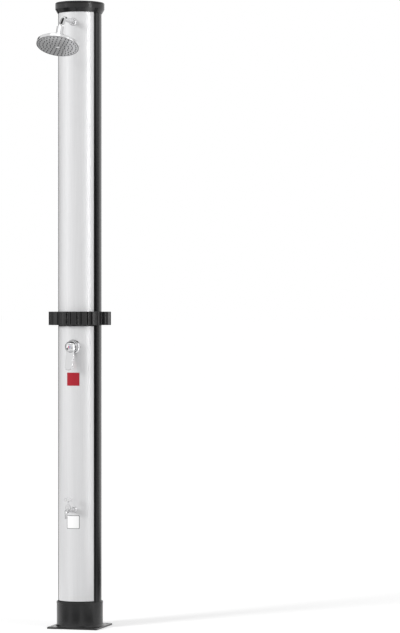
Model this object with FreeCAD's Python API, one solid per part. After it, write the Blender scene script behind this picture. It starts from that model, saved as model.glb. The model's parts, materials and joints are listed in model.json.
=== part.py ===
"""Outdoor shower post: a two-part column tank on a bolted foot, with a tilting
shower head, a lever mixer and a small foot tap.

Millimetres, +Z up. The origin is the centre of the foot's underside, and the
front of the column, where the fittings are, faces -Y.
"""
import FreeCAD
import Part
import math
import os

V = FreeCAD.Vector
ORIGIN = V(0, 0, 0)
AXIS_X, AXIS_Y, AXIS_Z = V(1, 0, 0), V(0, 1, 0), V(0, 0, 1)

# ---------------------------------------------------------------- shared fits
SLIP = 0.3            # gap between a part and the one that it slips over
RUN = 0.05            # radial running clearance of a turning fit
FACE = 0.1            # gap between faces that a seal or clip keeps apart
TOUCH = 0.001         # a length below this counts as none
FULL_ROUND = 0.999    # share of a half width that its end's round takes
HEX_SIDES = 6

# ------------------------------------------------------------------ tank tube
TANK_R = 75.0         # outside radius of the black profile at the back
TANK_WALL = 4.5
PANEL_SEAT_DEPTH = 2.0    # the front is set back by this to carry the panel
CHANNEL_DEPTH = 2.7       # the channel beside the panel
RAIL_DEPTH = 1.2          # the raised rail between the channel and the round back
CHANNEL_ANGLE = 56.6  # each angle is measured from the front, to either side
RAIL_ANGLE = 65.6
BACK_ANGLE = 77.0

PANEL_T = 1.7         # sheet thickness of the front panels
PANEL_HOOK_T = 1.5

# --------------------------------------------------------------------- levels
FOOT_PLATE_T = 6.0
FOOT_LIP_Z = 90.5
PANEL_FOOT_GAP = 4.0
PANEL_RING_GAP = 4.0
RING_BOTTOM_Z = 1043.0
RING_H = 46.5
CAP_TOP_Z = 2156.0
CAP_H = 37.0

# ----------------------------------------------------------------------- foot
FOOT_SIDE = 180.0
FOOT_CORNER_R = 4.0
FOOT_BOLT_SPACING = 150.0
FOOT_BOLT_R = 5.0
FOOT_COLLAR_WALL = 4.6
FOOT_LIP_H = 8.0
FOOT_LIP_PROUD = 0.6
FOOT_LIP_ROUND = 1.5
FOOT_FLARE_R = 5.0
FOOT_LEDGE = 8.5          # width of the ledge under the tube, inside its bore

# ----------------------------------------------------------- tank end closures
PLUG_H = 26.0
PLUG_WALL = 5.0
PLUG_GROOVE_H = 4.0
PLUG_GROOVE_DEPTH = 2.6
BOTTOM_PLUG_Z = 70.0
TOP_PLUG_DROP = 52.0  # from the cap's top down to the top plug's underside
CAP_OVERHANG = 10.0
CAP_BAND_H = 23.0
CAP_WALL = 3.0
CAP_EDGE_R = 4.0
CAP_MOUTH_WALL = 2.0
CAP_RIM_GROOVE_DROP = 6.0
CAP_RIM_GROOVE = 0.8
CAP_BAND_ROUND = 1.6
CAP_INSIDE_ROUND = 1.5
TUBE_IN_CAP = 12.0    # how far the tank tube reaches up into the cap

# ---------------------------------------------------------------- union joint
UNION_FLANGE_W = 17.0 # width of the collars' flanges beyond the tank
RING_WALL = 15.8      # the ring nut's wall, from its thread to the lobes' tips
RING_LOBES = 18
RING_VALLEY_R = 9.0
RING_VALLEY_TURN = -3.3
RING_LOBE_ROUND = 2.5
RING_EDGE_ROUND = 1.2
RING_LIP_H = 8.0
UNION_NECK_H = 45.0   # length that each collar reaches into its tube
UNION_NECK_WALL = 6.0
LOWER_COLLAR_H = 16.0
UNION_SEAL_H = 3.0
UNION_SEAL_W = 6.0
UNION_SEAL_OUT = 3.0  # the seal's middle lies this far outside the tank

# ---------------------------------------------------------------------- mixer
MIXER_BELOW_RING = 75.0
MIXER_NECK_R = 14.0
MIXER_BODY_R = 20.0
MIXER_BODY_DEPTH = 30.0
MIXER_BODY_ROUND = 3.0
MIXER_BOSS_L = 2.0
MIXER_NECK_PROUD = 11.2   # the neck's end, in front of the panel
MIXER_BORE_R = 11.4
MIXER_BORE_DEPTH = 36.0
MIXER_NUT_R = 20.5
MIXER_NUT_T = 4.5
ESCUTCHEON_R = 26.0
ESCUTCHEON_PROUD = 7.2
ESCUTCHEON_WALL = 1.6
ESCUTCHEON_STEP = 1.9     # its shoulder stands this far outside the locknut
ESCUTCHEON_ROUND = 3.2
GASKET_W = 3.2
GASKET_T = 0.8
LEVER_PIVOT_OUT = 10.0    # from the neck's end to the lever's pivot
BONNET_BALL_R = 17.8
BONNET_MOUTH_R = 10.2
BONNET_SKIRT_R = 16.2
BONNET_WALL = 2.0
LEVER_CAP_R = 21.2
LEVER_CAP_SKIRT = 1.0     # the cap reaches this far behind its pivot
ROTOR_R = 8.6
ROTOR_T = 7.0
STEM_R = 3.5
EAR_T = 2.6               # the rotor's ears, one on each side of the stem
EAR_HALF = 3.6
PIN_R = 1.5
LEVER_LEAN = 20.0
LEVER_TIP_REACH = 85.0
LEVER_NECK_HALF = 12.5
LEVER_PAD_HALF = 14.0
LEVER_PAD_T = 5.5
LEVER_WAIST = 14.0        # from the pivot to where the paddle starts to widen
LEVER_FLARE = 14.0        # length over which it widens
LEVER_PAD_ROUND = 2.5
LEVER_SCREW_R = 2.0
LEVER_SCREW_HEAD_T = 1.3
LEVER_SCREW_L = 9.0
INDEX_R = 4.5
INDEX_T = 1.2

# ------------------------------------------------------------------- foot tap
TAP_Z = 410.0
TAP_FLANGE_R = 13.0
TAP_FLANGE_T = 3.0
TAP_BARREL_R = 8.0
TAP_TAIL_IN = 14.5        # the barrel's tail reaches this far inside the bore
TAP_SPOUT_OUT = 75.0      # the spout's middle, in front of the tank
TAP_SPOUT_R = 5.6
TAP_SPOUT_DROP = 20.0
TAP_SPOUT_BORE_R = 3.6
TAP_SPOUT_BEND_R = 10.0
AERATOR_H = 6.0
AERATOR_R = 6.2
TAP_STEM_OUT = 52.0
TAP_BONNET_R = 7.6
TAP_BONNET_H = 20.0
TAP_COLLAR_RIM = 2.0
TAP_COLLAR_LOW = 5.0      # above the barrel's axis
TAP_COLLAR_H = 9.0
TAP_STEM_R = 3.2
TAP_STEM_H = 10.0
TAP_HANDLE_SPAN = 29.0
TAP_HANDLE_H = 13.0
TAP_HANDLE_HUB_R = 6.5
TAP_HANDLE_T = 7.0
TAP_HANDLE_ROUND = 1.75
TAP_HUB_STEP = 2.0
TAP_SCREW_R = 2.5
TAP_SCREW_HEAD_R = 4.4
TAP_SCREW_HEAD_T = 2.0
TAP_SCREW_SHANK_R = 1.25
TAP_SCREW_L = 12.0
TAP_SCREW_SLOT = 1.0
TAP_SPINDLE_DROP = 6.0    # the spindle ends this far below the handle's top

# ----------------------------------------------------------------- shower arm
ARM_BELOW_TOP = 72.0
ARM_R = 8.5
ARM_WALL = 1.5
ARM_FLANGE_R = 14.0
ARM_FLANGE_T = 6.0
ARM_FLANGE_STEP = 2.0
ARM_FLANGE_ROUND = 1.0
ARM_TAIL_IN = 12.5
ARM_BEND_R = 30.0
ARM_SLOPE = 44.0          # degrees below level
BALL_R = 9.5
BALL_OUT = 137.0          # from the tank's front to the ball's centre
BALL_DROP = 36.0          # from the arm's level run down to the ball's centre
BALL_NECK_R = 4.5
BALL_NECK_L = 9.4
BALL_CONE_L = 3.0
BALL_BORE_R = 2.6
NUT_T = 6.0               # the hidden locknuts share a thickness
NUT_RIM = 6.0

# ---------------------------------------------------------------- shower head
HEAD_TILT = 23.0          # the face looks down, tipped forward by this
HEAD_R = 73.0
HEAD_RIM_H = 11.0
HEAD_DROP = 69.0          # from the ball's centre to the rim of the face
HEAD_WALL = 2.0
HEAD_EDGE_R = 3.0
HEAD_SHOULDER = 6.0
HEAD_DOME_H = 15.0
HEAD_RIM_ROUND = 1.6
HEAD_LEDGE = 3.5          # width of the step that the face's gasket beds on
HEAD_BOSS_R = 17.0
HEAD_BOSS_TOP = 23.0      # below the ball's centre
SPIGOT_DROP = 6.0         # the spigot's top, below the ball's centre
WATERWAY_R = 5.0
FACE_R = 69.0
FACE_T = 2.6
FACE_CROWN = 3.0
NUT_R = 12.0
NUT_LOW = 21.0
NUT_TOP = 5.0
NUT_MOUTH_R = 8.0
NUT_WALL = 1.8
NUT_LOW_ROUND = 1.0
NUT_TOP_ROUND = 1.4
SEAT_WALL = 0.9           # the seat and the seal, two thin zones of one sphere
SEAT_LOW = -8.5
SEAT_HIGH = -3.0
SEAL_LOW = -0.6
SEAL_HIGH = 2.0
FILTER_T = 2.0
FILTER_HOLE_COUNT = 6
FILTER_HOLE_R = 0.8
FILTER_HOLE_CIRCLE_R = 3.0
HEAD_GASKET_H = 2.0
HEAD_GASKET_W = 1.7       # its skirt fills the gap between the face and the shell
HEAD_GASKET_SET_IN = 0.6
NOZZLE_R = 1.9
NOZZLE_H = 2.2
NOZZLE_RING_COUNT = 5
NOZZLE_RING_STEP = 12.5   # ring n has n times this radius
NOZZLE_COUNT_STEP = 6     # and n times as many nozzles

# --------------------------------------------------------------------- plumbing
PIPE_R = 6.0
PIPE_WALL = 1.5
PIPE_BEND_R = 9.0
SIDE_PIPE_X = 32.0
PIPE_SET_IN = 24.5        # the side pipes stand this far behind the bore's front
RISER_SET_IN = 26.5
WARM_PIPE_BELOW_TOP = 90.0
INLET_Z = 170.0
INLET_R = 13.2
INLET_L = 14.0
INLET_BORE_R = 8.0
INLET_FLANGE_R = 17.0
INLET_FLANGE_T = 5.0
INLET_NECK_R = 11.0
INLET_ROUND = 1.2
WASHER_T = 2.0
TEE_R = 9.0
TEE_H = 28.0
TEE_BRANCH = 13.0
LOOP_RUN = 2.0            # straight run between the tee and the loop's first bend
DRAIN_Z = 115.0
DRAIN_R = 7.0
DRAIN_HEAD_R = 11.0
DRAIN_HEAD_T = 7.0
DRAIN_SLOT = 2.0
DRAIN_STICK_IN = 2.0

# ------------------------------------------------- values that follow from these
TUBE_LOW_Z = FOOT_PLATE_T
TANK_BORE_R = TANK_R - TANK_WALL
PANEL_SEAT_R = TANK_R - PANEL_SEAT_DEPTH
CHANNEL_R = TANK_R - CHANNEL_DEPTH
RAIL_R = TANK_R - RAIL_DEPTH
FOOT_OPENING_R = TANK_BORE_R - FOOT_LEDGE
CAP_R = TANK_R + CAP_OVERHANG
CAP_MOUTH_R = TANK_R + CAP_MOUTH_WALL
UNION_SEAL_R = TANK_R + UNION_SEAL_OUT
RING_THREAD_R = TANK_R + UNION_FLANGE_W
RING_R = RING_THREAD_R + RING_WALL
MIXER_Z = RING_BOTTOM_Z - MIXER_BELOW_RING
ARM_Z = CAP_TOP_Z - ARM_BELOW_TOP
BALL_Z = ARM_Z - BALL_DROP
WARM_PIPE_TOP_Z = CAP_TOP_Z - WARM_PIPE_BELOW_TOP
PANEL_LOW_Z = FOOT_LIP_Z + PANEL_FOOT_GAP
RING_TOP_Z = RING_BOTTOM_Z + RING_H
LOWER_TUBE_TOP_Z = RING_BOTTOM_Z
UPPER_TUBE_LOW_Z = RING_TOP_Z
CAP_LOW_Z = CAP_TOP_Z - CAP_H
UPPER_TUBE_TOP_Z = CAP_LOW_Z + TUBE_IN_CAP
TOP_PLUG_Z = CAP_TOP_Z - TOP_PLUG_DROP
PANEL_R = PANEL_SEAT_R + FACE + PANEL_T
COLLAR_BORE_R = TANK_R + SLIP
COLLAR_R = COLLAR_BORE_R + FOOT_COLLAR_WALL
# distances named ..._END run out from the column's axis
MIXER_NECK_END = PANEL_R + MIXER_NECK_PROUD
ESCUTCHEON_END = PANEL_R + ESCUTCHEON_PROUD
LEVER_PIVOT_END = MIXER_NECK_END + LEVER_PIVOT_OUT
TAP_TAIL_END = TANK_BORE_R - TAP_TAIL_IN
TAP_STEM_END = TANK_R + TAP_STEM_OUT
TAP_SPOUT_END = TANK_R + TAP_SPOUT_OUT
ARM_TAIL_END = TANK_BORE_R - ARM_TAIL_IN
BALL_REACH = TANK_R + BALL_OUT
PIPE_END = TANK_BORE_R - PIPE_SET_IN
RISER_END = TANK_BORE_R - RISER_SET_IN


# ------------------------------------------------------------------ helpers
def rounded_wire(corners, place):
    """A closed outline through corners (a, b, radius), each with its own round."""
    points = [V(a, b, 0) for a, b, _ in corners]
    turns = []
    for i, here in enumerate(points):
        back = (points[i - 1] - here).normalize()
        ahead = (points[(i + 1) % len(points)] - here).normalize()
        radius = corners[i][2]
        if radius <= 0:
            turns.append((here, None, here))
            continue
        half = back.getAngle(ahead) / 2
        reach = radius / math.tan(half)
        towards = (back + ahead).normalize()
        middle = here + towards * (radius / math.sin(half) - radius)
        turns.append((here + back * reach, middle, here + ahead * reach))
    edges = []
    for i, (start, middle, end) in enumerate(turns):
        following = turns[(i + 1) % len(turns)][0]
        if middle is not None:
            edges.append(Part.Arc(place(start), place(middle), place(end)).toShape())
        if (following - end).Length > TOUCH:
            edges.append(Part.LineSegment(place(end), place(following)).toShape())
    return Part.Wire(edges)


def lathe(corners):
    """Turn a profile of (radius, height, corner round) about the Z axis."""
    wire = rounded_wire(corners, lambda p: V(p.x, 0, p.y))
    return Part.Face(wire).revolve(ORIGIN, AXIS_Z, 360)


def slab(corners, low, height):
    """Extrude a flat outline of (x, y, corner round) upwards."""
    wire = rounded_wire(corners, lambda p: V(p.x, p.y, low))
    return Part.Face(wire).extrude(V(0, 0, height))


def rod(radius, low, high):
    return Part.makeCylinder(radius, high - low, V(0, 0, low), AXIS_Z)


def tube(outer, inner, low, high):
    return rod(outer, low, high).cut(rod(inner, low, high))


def ring_seal(radius, section, z):
    return Part.makeTorus(radius, section, V(0, 0, z), AXIS_Z)


def to_front(shape, z):
    """Lay a shape made about Z along -Y, its height measured from the column's axis."""
    shape = shape.copy()
    shape.rotate(ORIGIN, AXIS_X, 90)
    shape.translate(V(0, 0, z))
    return shape


def to_back(shape, z):
    """Lay a shape made about Z along +Y, its height measured from the column's axis."""
    shape = shape.copy()
    shape.rotate(ORIGIN, AXIS_X, -90)
    shape.translate(V(0, 0, z))
    return shape


def front_hole(radius, z):
    return to_front(rod(radius, 0, 2 * TANK_R), z)


def back_hole(radius, z):
    return to_back(rod(radius, 0, 2 * TANK_R), z)


def on_circle(radius, degrees):
    """A point at an angle measured from the front, positive towards +X."""
    turn = math.radians(degrees)
    return V(radius * math.sin(turn), -radius * math.cos(turn), 0)


def sector(inner, outer, low_angle, high_angle):
    """A flat face between two radii and two angles measured from the front."""
    middle = (low_angle + high_angle) / 2
    a, b = on_circle(outer, low_angle), on_circle(outer, high_angle)
    c, d = on_circle(inner, high_angle), on_circle(inner, low_angle)
    edges = [
        Part.Arc(a, on_circle(outer, middle), b).toShape(),
        Part.LineSegment(b, c).toShape(),
        Part.Arc(c, on_circle(inner, middle), d).toShape(),
        Part.LineSegment(d, a).toShape(),
    ]
    return Part.Face(Part.Wire(edges))


def bent_path(points, bend_radius):
    """A path of straight runs joined by tangent arcs."""
    edges = []
    start = points[0]
    for before, corner, after in zip(points, points[1:], points[2:]):
        back = (before - corner).normalize()
        ahead = (after - corner).normalize()
        half = back.getAngle(ahead) / 2
        reach = bend_radius / math.tan(half)
        middle = corner + (back + ahead).normalize() * (bend_radius / math.sin(half) - bend_radius)
        enter, leave = corner + back * reach, corner + ahead * reach
        edges.append(Part.LineSegment(start, enter).toShape())
        edges.append(Part.Arc(enter, middle, leave).toShape())
        start = leave
    edges.append(Part.LineSegment(start, points[-1]).toShape())
    return Part.Wire(edges)


def bent_rod(points, bend_radius, radius):
    path = bent_path(points, bend_radius)
    circle = Part.Wire(Part.makeCircle(radius, points[0], points[1] - points[0]))
    return path.makePipeShell([circle], True, False)


def bent_pipe(points, bend_radius, outer, wall):
    solid = bent_rod(points, bend_radius, outer).cut(bent_rod(points, bend_radius, outer - wall))
    return solid


# ------------------------------------------------------------------ the column
def tank_section():
    """Cross-section of the black profile: seat, two channels, two rails, round back."""
    face = Part.Face(Part.Wire(Part.makeCircle(TANK_R)))
    beyond = TANK_R + 2 * PANEL_T
    for side in (-1, 1):
        for inner, low, high in (
            (CHANNEL_R, CHANNEL_ANGLE, RAIL_ANGLE),
            (RAIL_R, RAIL_ANGLE, BACK_ANGLE),
        ):
            edges = sorted((side * low, side * high))
            face = face.cut(sector(inner, beyond, *edges))
    face = face.cut(sector(PANEL_SEAT_R, beyond, -CHANNEL_ANGLE, CHANNEL_ANGLE))
    return face.cut(Part.Face(Part.Wire(Part.makeCircle(TANK_BORE_R))))


def tank_length(low, high):
    section = tank_section()
    section.translate(V(0, 0, low))
    return section.extrude(V(0, 0, high - low))


def lower_tank_tube():
    solid = tank_length(TUBE_LOW_Z, LOWER_TUBE_TOP_Z)
    for radius, z in ((MIXER_NECK_R, MIXER_Z), (TAP_BARREL_R, TAP_Z)):
        solid = solid.cut(front_hole(radius + SLIP, z))
    for radius, z in ((INLET_NECK_R, INLET_Z), (DRAIN_R, DRAIN_Z)):
        solid = solid.cut(back_hole(radius + SLIP, z))
    return solid


def upper_tank_tube():
    return tank_length(UPPER_TUBE_LOW_Z, UPPER_TUBE_TOP_Z).cut(front_hole(ARM_R + SLIP, ARM_Z))


def front_panel(low, high):
    """A curved sheet whose edges turn in and hook over the sides of its seat."""
    hook_low = CHANNEL_ANGLE + math.degrees(FACE / PANEL_R)
    hook_high = hook_low + math.degrees(PANEL_HOOK_T / PANEL_R)
    faces = [sector(PANEL_SEAT_R + FACE, PANEL_R, -hook_high, hook_high)]
    faces.append(sector(CHANNEL_R + FACE, PANEL_R, hook_low, hook_high))
    faces.append(sector(CHANNEL_R + FACE, PANEL_R, -hook_high, -hook_low))
    sheet, right, left = [face.extrude(V(0, 0, high - low)) for face in faces]
    solid = sheet.fuse([right, left]).removeSplitter()
    solid.translate(V(0, 0, low))
    return solid


def lower_front_panel():
    solid = front_panel(PANEL_LOW_Z, RING_BOTTOM_Z - PANEL_RING_GAP)
    solid = solid.cut(front_hole(MIXER_NECK_R + SLIP, MIXER_Z))
    return solid.cut(front_hole(TAP_BARREL_R + SLIP, TAP_Z))


def upper_front_panel():
    return front_panel(RING_TOP_Z, CAP_LOW_Z).cut(front_hole(ARM_R + SLIP, ARM_Z))


# -------------------------------------------------------------------- the foot
def foot():
    """Square plate with a flared collar round the tube and a lip at its top."""
    half = FOOT_SIDE / 2
    square = [(-half, -half), (half, -half), (half, half), (-half, half)]
    plate = slab([(x, y, FOOT_CORNER_R) for x, y in square], 0, FOOT_PLATE_T)
    lip_r = COLLAR_R + FOOT_LIP_PROUD
    lip_low = FOOT_LIP_Z - FOOT_LIP_H
    collar = lathe([
        (FOOT_OPENING_R, 0, 0),
        (COLLAR_R + FOOT_FLARE_R, 0, 0),
        (COLLAR_R + FOOT_FLARE_R, FOOT_PLATE_T, 0),
        (COLLAR_R, FOOT_PLATE_T + FOOT_FLARE_R, 0),
        (COLLAR_R, lip_low, 0),
        (lip_r, lip_low + FOOT_LIP_PROUD, 0),
        (lip_r, FOOT_LIP_Z, FOOT_LIP_ROUND),
        (COLLAR_BORE_R, FOOT_LIP_Z, FOOT_LIP_ROUND),
        (COLLAR_BORE_R, FOOT_PLATE_T, 0),
        (FOOT_OPENING_R, FOOT_PLATE_T, 0),
    ])
    solid = plate.cut(rod(FOOT_OPENING_R, 0, FOOT_PLATE_T)).fuse(collar).removeSplitter()
    reach = FOOT_BOLT_SPACING / 2
    for x in (-reach, reach):
        for y in (-reach, reach):
            hole = rod(FOOT_BOLT_R, 0, FOOT_PLATE_T)
            hole.translate(V(x, y, 0))
            solid = solid.cut(hole)
    return solid


# ---------------------------------------------------------- tank end closures
def end_plug(low, opens_up):
    """A cup that closes the tank's bore, with a seal groove round its wall."""
    outer = TANK_BORE_R - FACE
    groove_low = PLUG_H / 2 - PLUG_GROOVE_H / 2
    groove_high = groove_low + PLUG_GROOVE_H
    inner = outer - PLUG_GROOVE_DEPTH - PLUG_WALL
    cup = lathe([
        (0, 0, 0), (outer, 0, 0), (outer, groove_low, 0),
        (outer - PLUG_GROOVE_DEPTH, groove_low, 0), (outer - PLUG_GROOVE_DEPTH, groove_high, 0),
        (outer, groove_high, 0), (outer, PLUG_H, 0), (inner, PLUG_H, 0),
        (inner, PLUG_WALL, 0), (0, PLUG_WALL, 0),
    ])
    if not opens_up:
        cup = cup.mirror(V(0, 0, PLUG_H / 2), AXIS_Z)
    cup.translate(V(0, 0, low))
    return cup


def plug_seal(low):
    section = PLUG_GROOVE_DEPTH / 2 - FACE / 2
    radius = TANK_BORE_R - FACE - PLUG_GROOVE_DEPTH / 2
    return ring_seal(radius, section, low + PLUG_H / 2)


def top_cap():
    """A flanged lid: tapered mouth, straight band and a fine groove under its top."""
    band_low = CAP_TOP_Z - CAP_BAND_H
    groove_z = CAP_TOP_Z - CAP_RIM_GROOVE_DROP
    bore = TANK_R + SLIP
    inner_top = CAP_TOP_Z - CAP_WALL
    hollow_r = bore + CAP_WALL
    return lathe([
        (0, CAP_TOP_Z, 0), (CAP_R, CAP_TOP_Z, CAP_EDGE_R),
        (CAP_R, groove_z, 0), (CAP_R - CAP_RIM_GROOVE, groove_z - CAP_RIM_GROOVE, 0),
        (CAP_R, groove_z - 2 * CAP_RIM_GROOVE, 0), (CAP_R, band_low, CAP_BAND_ROUND),
        (CAP_MOUTH_R, CAP_LOW_Z, 0), (bore, CAP_LOW_Z, 0), (bore, UPPER_TUBE_TOP_Z, 0),
        (TANK_BORE_R, UPPER_TUBE_TOP_Z, 0), (TANK_BORE_R, UPPER_TUBE_TOP_Z + CAP_WALL, 0),
        (hollow_r, UPPER_TUBE_TOP_Z + CAP_WALL, 0), (hollow_r, inner_top, CAP_INSIDE_ROUND),
        (0, inner_top, 0),
    ])


# ----------------------------------------------------------------- union joint
LOWER_COLLAR_TOP = RING_BOTTOM_Z + LOWER_COLLAR_H
UPPER_COLLAR_LOW = LOWER_COLLAR_TOP + UNION_SEAL_H
RING_LIP_Z = RING_TOP_Z - RING_LIP_H


def union_collar(flange_low, flange_high, flange_r, neck_end):
    """A flanged sleeve: the flange lies in the ring nut, the neck in its tank tube."""
    outer = TANK_BORE_R - FACE
    inner = outer - UNION_NECK_WALL
    solid = tube(flange_r, inner, flange_low, flange_high)
    neck = tube(outer, inner, *sorted((neck_end, (flange_low + flange_high) / 2)))
    return solid.fuse(neck).removeSplitter()


def lower_union_collar():
    return union_collar(RING_BOTTOM_Z, LOWER_COLLAR_TOP, RING_THREAD_R - FACE,
                        RING_BOTTOM_Z - UNION_NECK_H)


def upper_union_collar():
    """Its flange is drawn down on the seal by the ring nut's lip."""
    flange = union_collar(UPPER_COLLAR_LOW, RING_LIP_Z - FACE, RING_THREAD_R - SLIP,
                          RING_TOP_Z + UNION_NECK_H)
    shoulder = tube(TANK_R, TANK_BORE_R - FACE - UNION_NECK_WALL, UPPER_COLLAR_LOW, RING_TOP_Z)
    return flange.fuse(shoulder).removeSplitter()


def union_seal():
    return tube(UNION_SEAL_R + UNION_SEAL_W / 2, UNION_SEAL_R - UNION_SEAL_W / 2,
                LOWER_COLLAR_TOP, UPPER_COLLAR_LOW)


def union_ring_nut():
    """The big hand nut: a threaded ring with a lip, scalloped round its rim for grip."""
    grip = rod(RING_R, RING_BOTTOM_Z, RING_TOP_Z)
    pitch = 360.0 / RING_LOBES
    for i in range(RING_LOBES):
        scallop = rod(RING_VALLEY_R, RING_BOTTOM_Z, RING_TOP_Z)
        scallop.translate(on_circle(RING_R, RING_VALLEY_TURN + i * pitch))
        grip = grip.cut(scallop)
    corners = [edge for edge in grip.Edges if edge.BoundBox.ZLength > RING_H - TOUCH]
    grip = grip.makeFillet(RING_LOBE_ROUND, corners)
    rims = [edge for edge in grip.Edges if edge.BoundBox.ZLength < TOUCH]
    grip = grip.makeFillet(RING_EDGE_ROUND, rims)
    bore = rod(RING_THREAD_R, RING_BOTTOM_Z, RING_LIP_Z)
    mouth = rod(TANK_R + SLIP, RING_LIP_Z, RING_TOP_Z)
    return grip.cut(bore).cut(mouth)


# ------------------------------------------------------------------- the mixer
MIXER_SEAT_END = math.sqrt(TANK_BORE_R ** 2 - MIXER_BODY_R ** 2) - FACE
MIXER_BACK_END = MIXER_SEAT_END - MIXER_BODY_DEPTH
MIXER_BOSS_X = MIXER_BODY_R + MIXER_BOSS_L
MIXER_OUTLET_Z = MIXER_Z + MIXER_BODY_R + MIXER_BOSS_L


def mixer_body():
    """Brass body in the tank, its threaded neck out through the wall and the panel."""
    floor = MIXER_NECK_END - MIXER_BORE_DEPTH
    body = lathe([
        (0, MIXER_BACK_END, 0), (MIXER_BODY_R, MIXER_BACK_END, MIXER_BODY_ROUND),
        (MIXER_BODY_R, MIXER_SEAT_END, 0), (MIXER_NECK_R, MIXER_SEAT_END, 0),
        (MIXER_NECK_R, MIXER_NECK_END, 0), (MIXER_BORE_R, MIXER_NECK_END, 0),
        (MIXER_BORE_R, floor, 0), (0, floor, 0),
    ])
    body = to_front(body, MIXER_Z)
    for side in (-1, 1):
        start = V(side * MIXER_BORE_R, -PIPE_END, MIXER_Z)
        body = body.fuse(Part.makeCylinder(PIPE_R, MIXER_BOSS_X - MIXER_BORE_R, start, V(side, 0, 0)))
    outlet = rod(PIPE_R, MIXER_Z + MIXER_BORE_R, MIXER_OUTLET_Z)
    outlet.translate(V(0, -RISER_END, 0))
    body = body.fuse(outlet).removeSplitter()
    return body.cut(to_front(rod(MIXER_BORE_R, floor, MIXER_NECK_END), MIXER_Z))


def mixer_locknut():
    return to_front(tube(MIXER_NUT_R, MIXER_NECK_R, PANEL_R, PANEL_R + MIXER_NUT_T), MIXER_Z)


def against_panel(shape, z, gap):
    """Cut the back of a fitting to the curve of the panel, a gap in front of it."""
    curve = rod(PANEL_R + gap, z - TANK_R, z + TANK_R)
    return shape.cut(curve)


def mixer_escutcheon():
    """A shallow dome that hides the locknut and beds on the gasket."""
    crest = ESCUTCHEON_END - ESCUTCHEON_WALL
    shoulder = MIXER_NUT_R + ESCUTCHEON_STEP
    rim_end = PANEL_R + ESCUTCHEON_WALL
    dome = lathe([
        (ESCUTCHEON_R, MIXER_SEAT_END, 0), (ESCUTCHEON_R, rim_end, ESCUTCHEON_WALL),
        (shoulder, ESCUTCHEON_END, ESCUTCHEON_ROUND),
        (MIXER_NECK_R + SLIP, ESCUTCHEON_END, 0), (MIXER_NECK_R + SLIP, crest, 0),
        (shoulder - ESCUTCHEON_WALL / 2, crest, 0),
        (ESCUTCHEON_R - ESCUTCHEON_WALL, rim_end, 0),
        (ESCUTCHEON_R - ESCUTCHEON_WALL, MIXER_SEAT_END, 0),
    ])
    return against_panel(to_front(dome, MIXER_Z), MIXER_Z, GASKET_T)


def escutcheon_gasket():
    outer = ESCUTCHEON_R - ESCUTCHEON_WALL / 4
    blank = to_front(tube(outer, outer - GASKET_W, MIXER_SEAT_END, ESCUTCHEON_END), MIXER_Z)
    sheet = tube(PANEL_R + GASKET_T, PANEL_R, MIXER_Z - ESCUTCHEON_R, MIXER_Z + ESCUTCHEON_R)
    return blank.common(sheet)


def mixer_bonnet():
    """Retaining collar over the neck that ends in the ball the lever turns on."""
    ball = Part.makeSphere(BONNET_BALL_R, V(0, 0, LEVER_PIVOT_END))
    hollow = Part.makeSphere(BONNET_BALL_R - BONNET_WALL, V(0, 0, LEVER_PIVOT_END))
    waist = LEVER_PIVOT_END - math.sqrt(BONNET_BALL_R ** 2 - BONNET_SKIRT_R ** 2)
    front = rod(2 * BONNET_BALL_R, waist, LEVER_PIVOT_END + 2 * BONNET_BALL_R)
    skirt = rod(BONNET_SKIRT_R, ESCUTCHEON_END, waist)
    solid = skirt.fuse(ball.common(front)).removeSplitter()
    solid = solid.cut(rod(MIXER_NECK_R, ESCUTCHEON_END, MIXER_NECK_END + FACE))
    solid = solid.cut(hollow)
    solid = solid.cut(rod(BONNET_MOUTH_R, LEVER_PIVOT_END, LEVER_PIVOT_END + 2 * BONNET_BALL_R))
    return to_front(solid, MIXER_Z)


def mixer_cartridge():
    """Valve cartridge in the neck, with the pocket that its rotor turns in."""
    floor = MIXER_NECK_END - MIXER_BORE_DEPTH
    pocket = MIXER_NECK_END - ROTOR_T
    solid = lathe([
        (0, floor, 0), (MIXER_BORE_R - FACE, floor, 0),
        (MIXER_BORE_R - FACE, MIXER_NECK_END, 0), (ROTOR_R + RUN, MIXER_NECK_END, 0),
        (ROTOR_R + RUN, pocket, 0), (0, pocket, 0),
    ])
    return to_front(solid, MIXER_Z)


EAR_INNER = STEM_R + SLIP
EAR_OUTER = EAR_INNER + EAR_T


def cartridge_rotor():
    """Disc that turns in the cartridge and carries the lever's pivot between two ears."""
    low = MIXER_NECK_END - ROTOR_T + RUN
    solid = rod(ROTOR_R, low, MIXER_NECK_END)
    for side in (-1, 1):
        ear = Part.makeBox(EAR_OUTER - EAR_INNER, 2 * EAR_HALF, LEVER_PIVOT_END - MIXER_NECK_END,
                           V(min(side * EAR_INNER, side * EAR_OUTER), -EAR_HALF, MIXER_NECK_END))
        eye = Part.makeCylinder(EAR_HALF, EAR_OUTER - EAR_INNER,
                                V(min(side * EAR_INNER, side * EAR_OUTER), 0, LEVER_PIVOT_END), AXIS_X)
        solid = solid.fuse(ear).fuse(eye)
    solid = solid.removeSplitter()
    hole = Part.makeCylinder(PIN_R + RUN, 4 * EAR_OUTER, V(-2 * EAR_OUTER, 0, LEVER_PIVOT_END), AXIS_X)
    return to_front(solid.cut(hole), MIXER_Z)


STEM_LOW = LEVER_PIVOT_END - 2 * STEM_R
STEM_TIP = LEVER_PIVOT_END + math.sqrt((BONNET_BALL_R + SLIP) ** 2 - STEM_R ** 2) - FACE
LEVER_FRONT = LEVER_PIVOT_END + LEVER_CAP_R
INDEX_SEAT = LEVER_FRONT - INDEX_T
LEVER_SCREW_TIP = INDEX_SEAT - LEVER_SCREW_L


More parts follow.
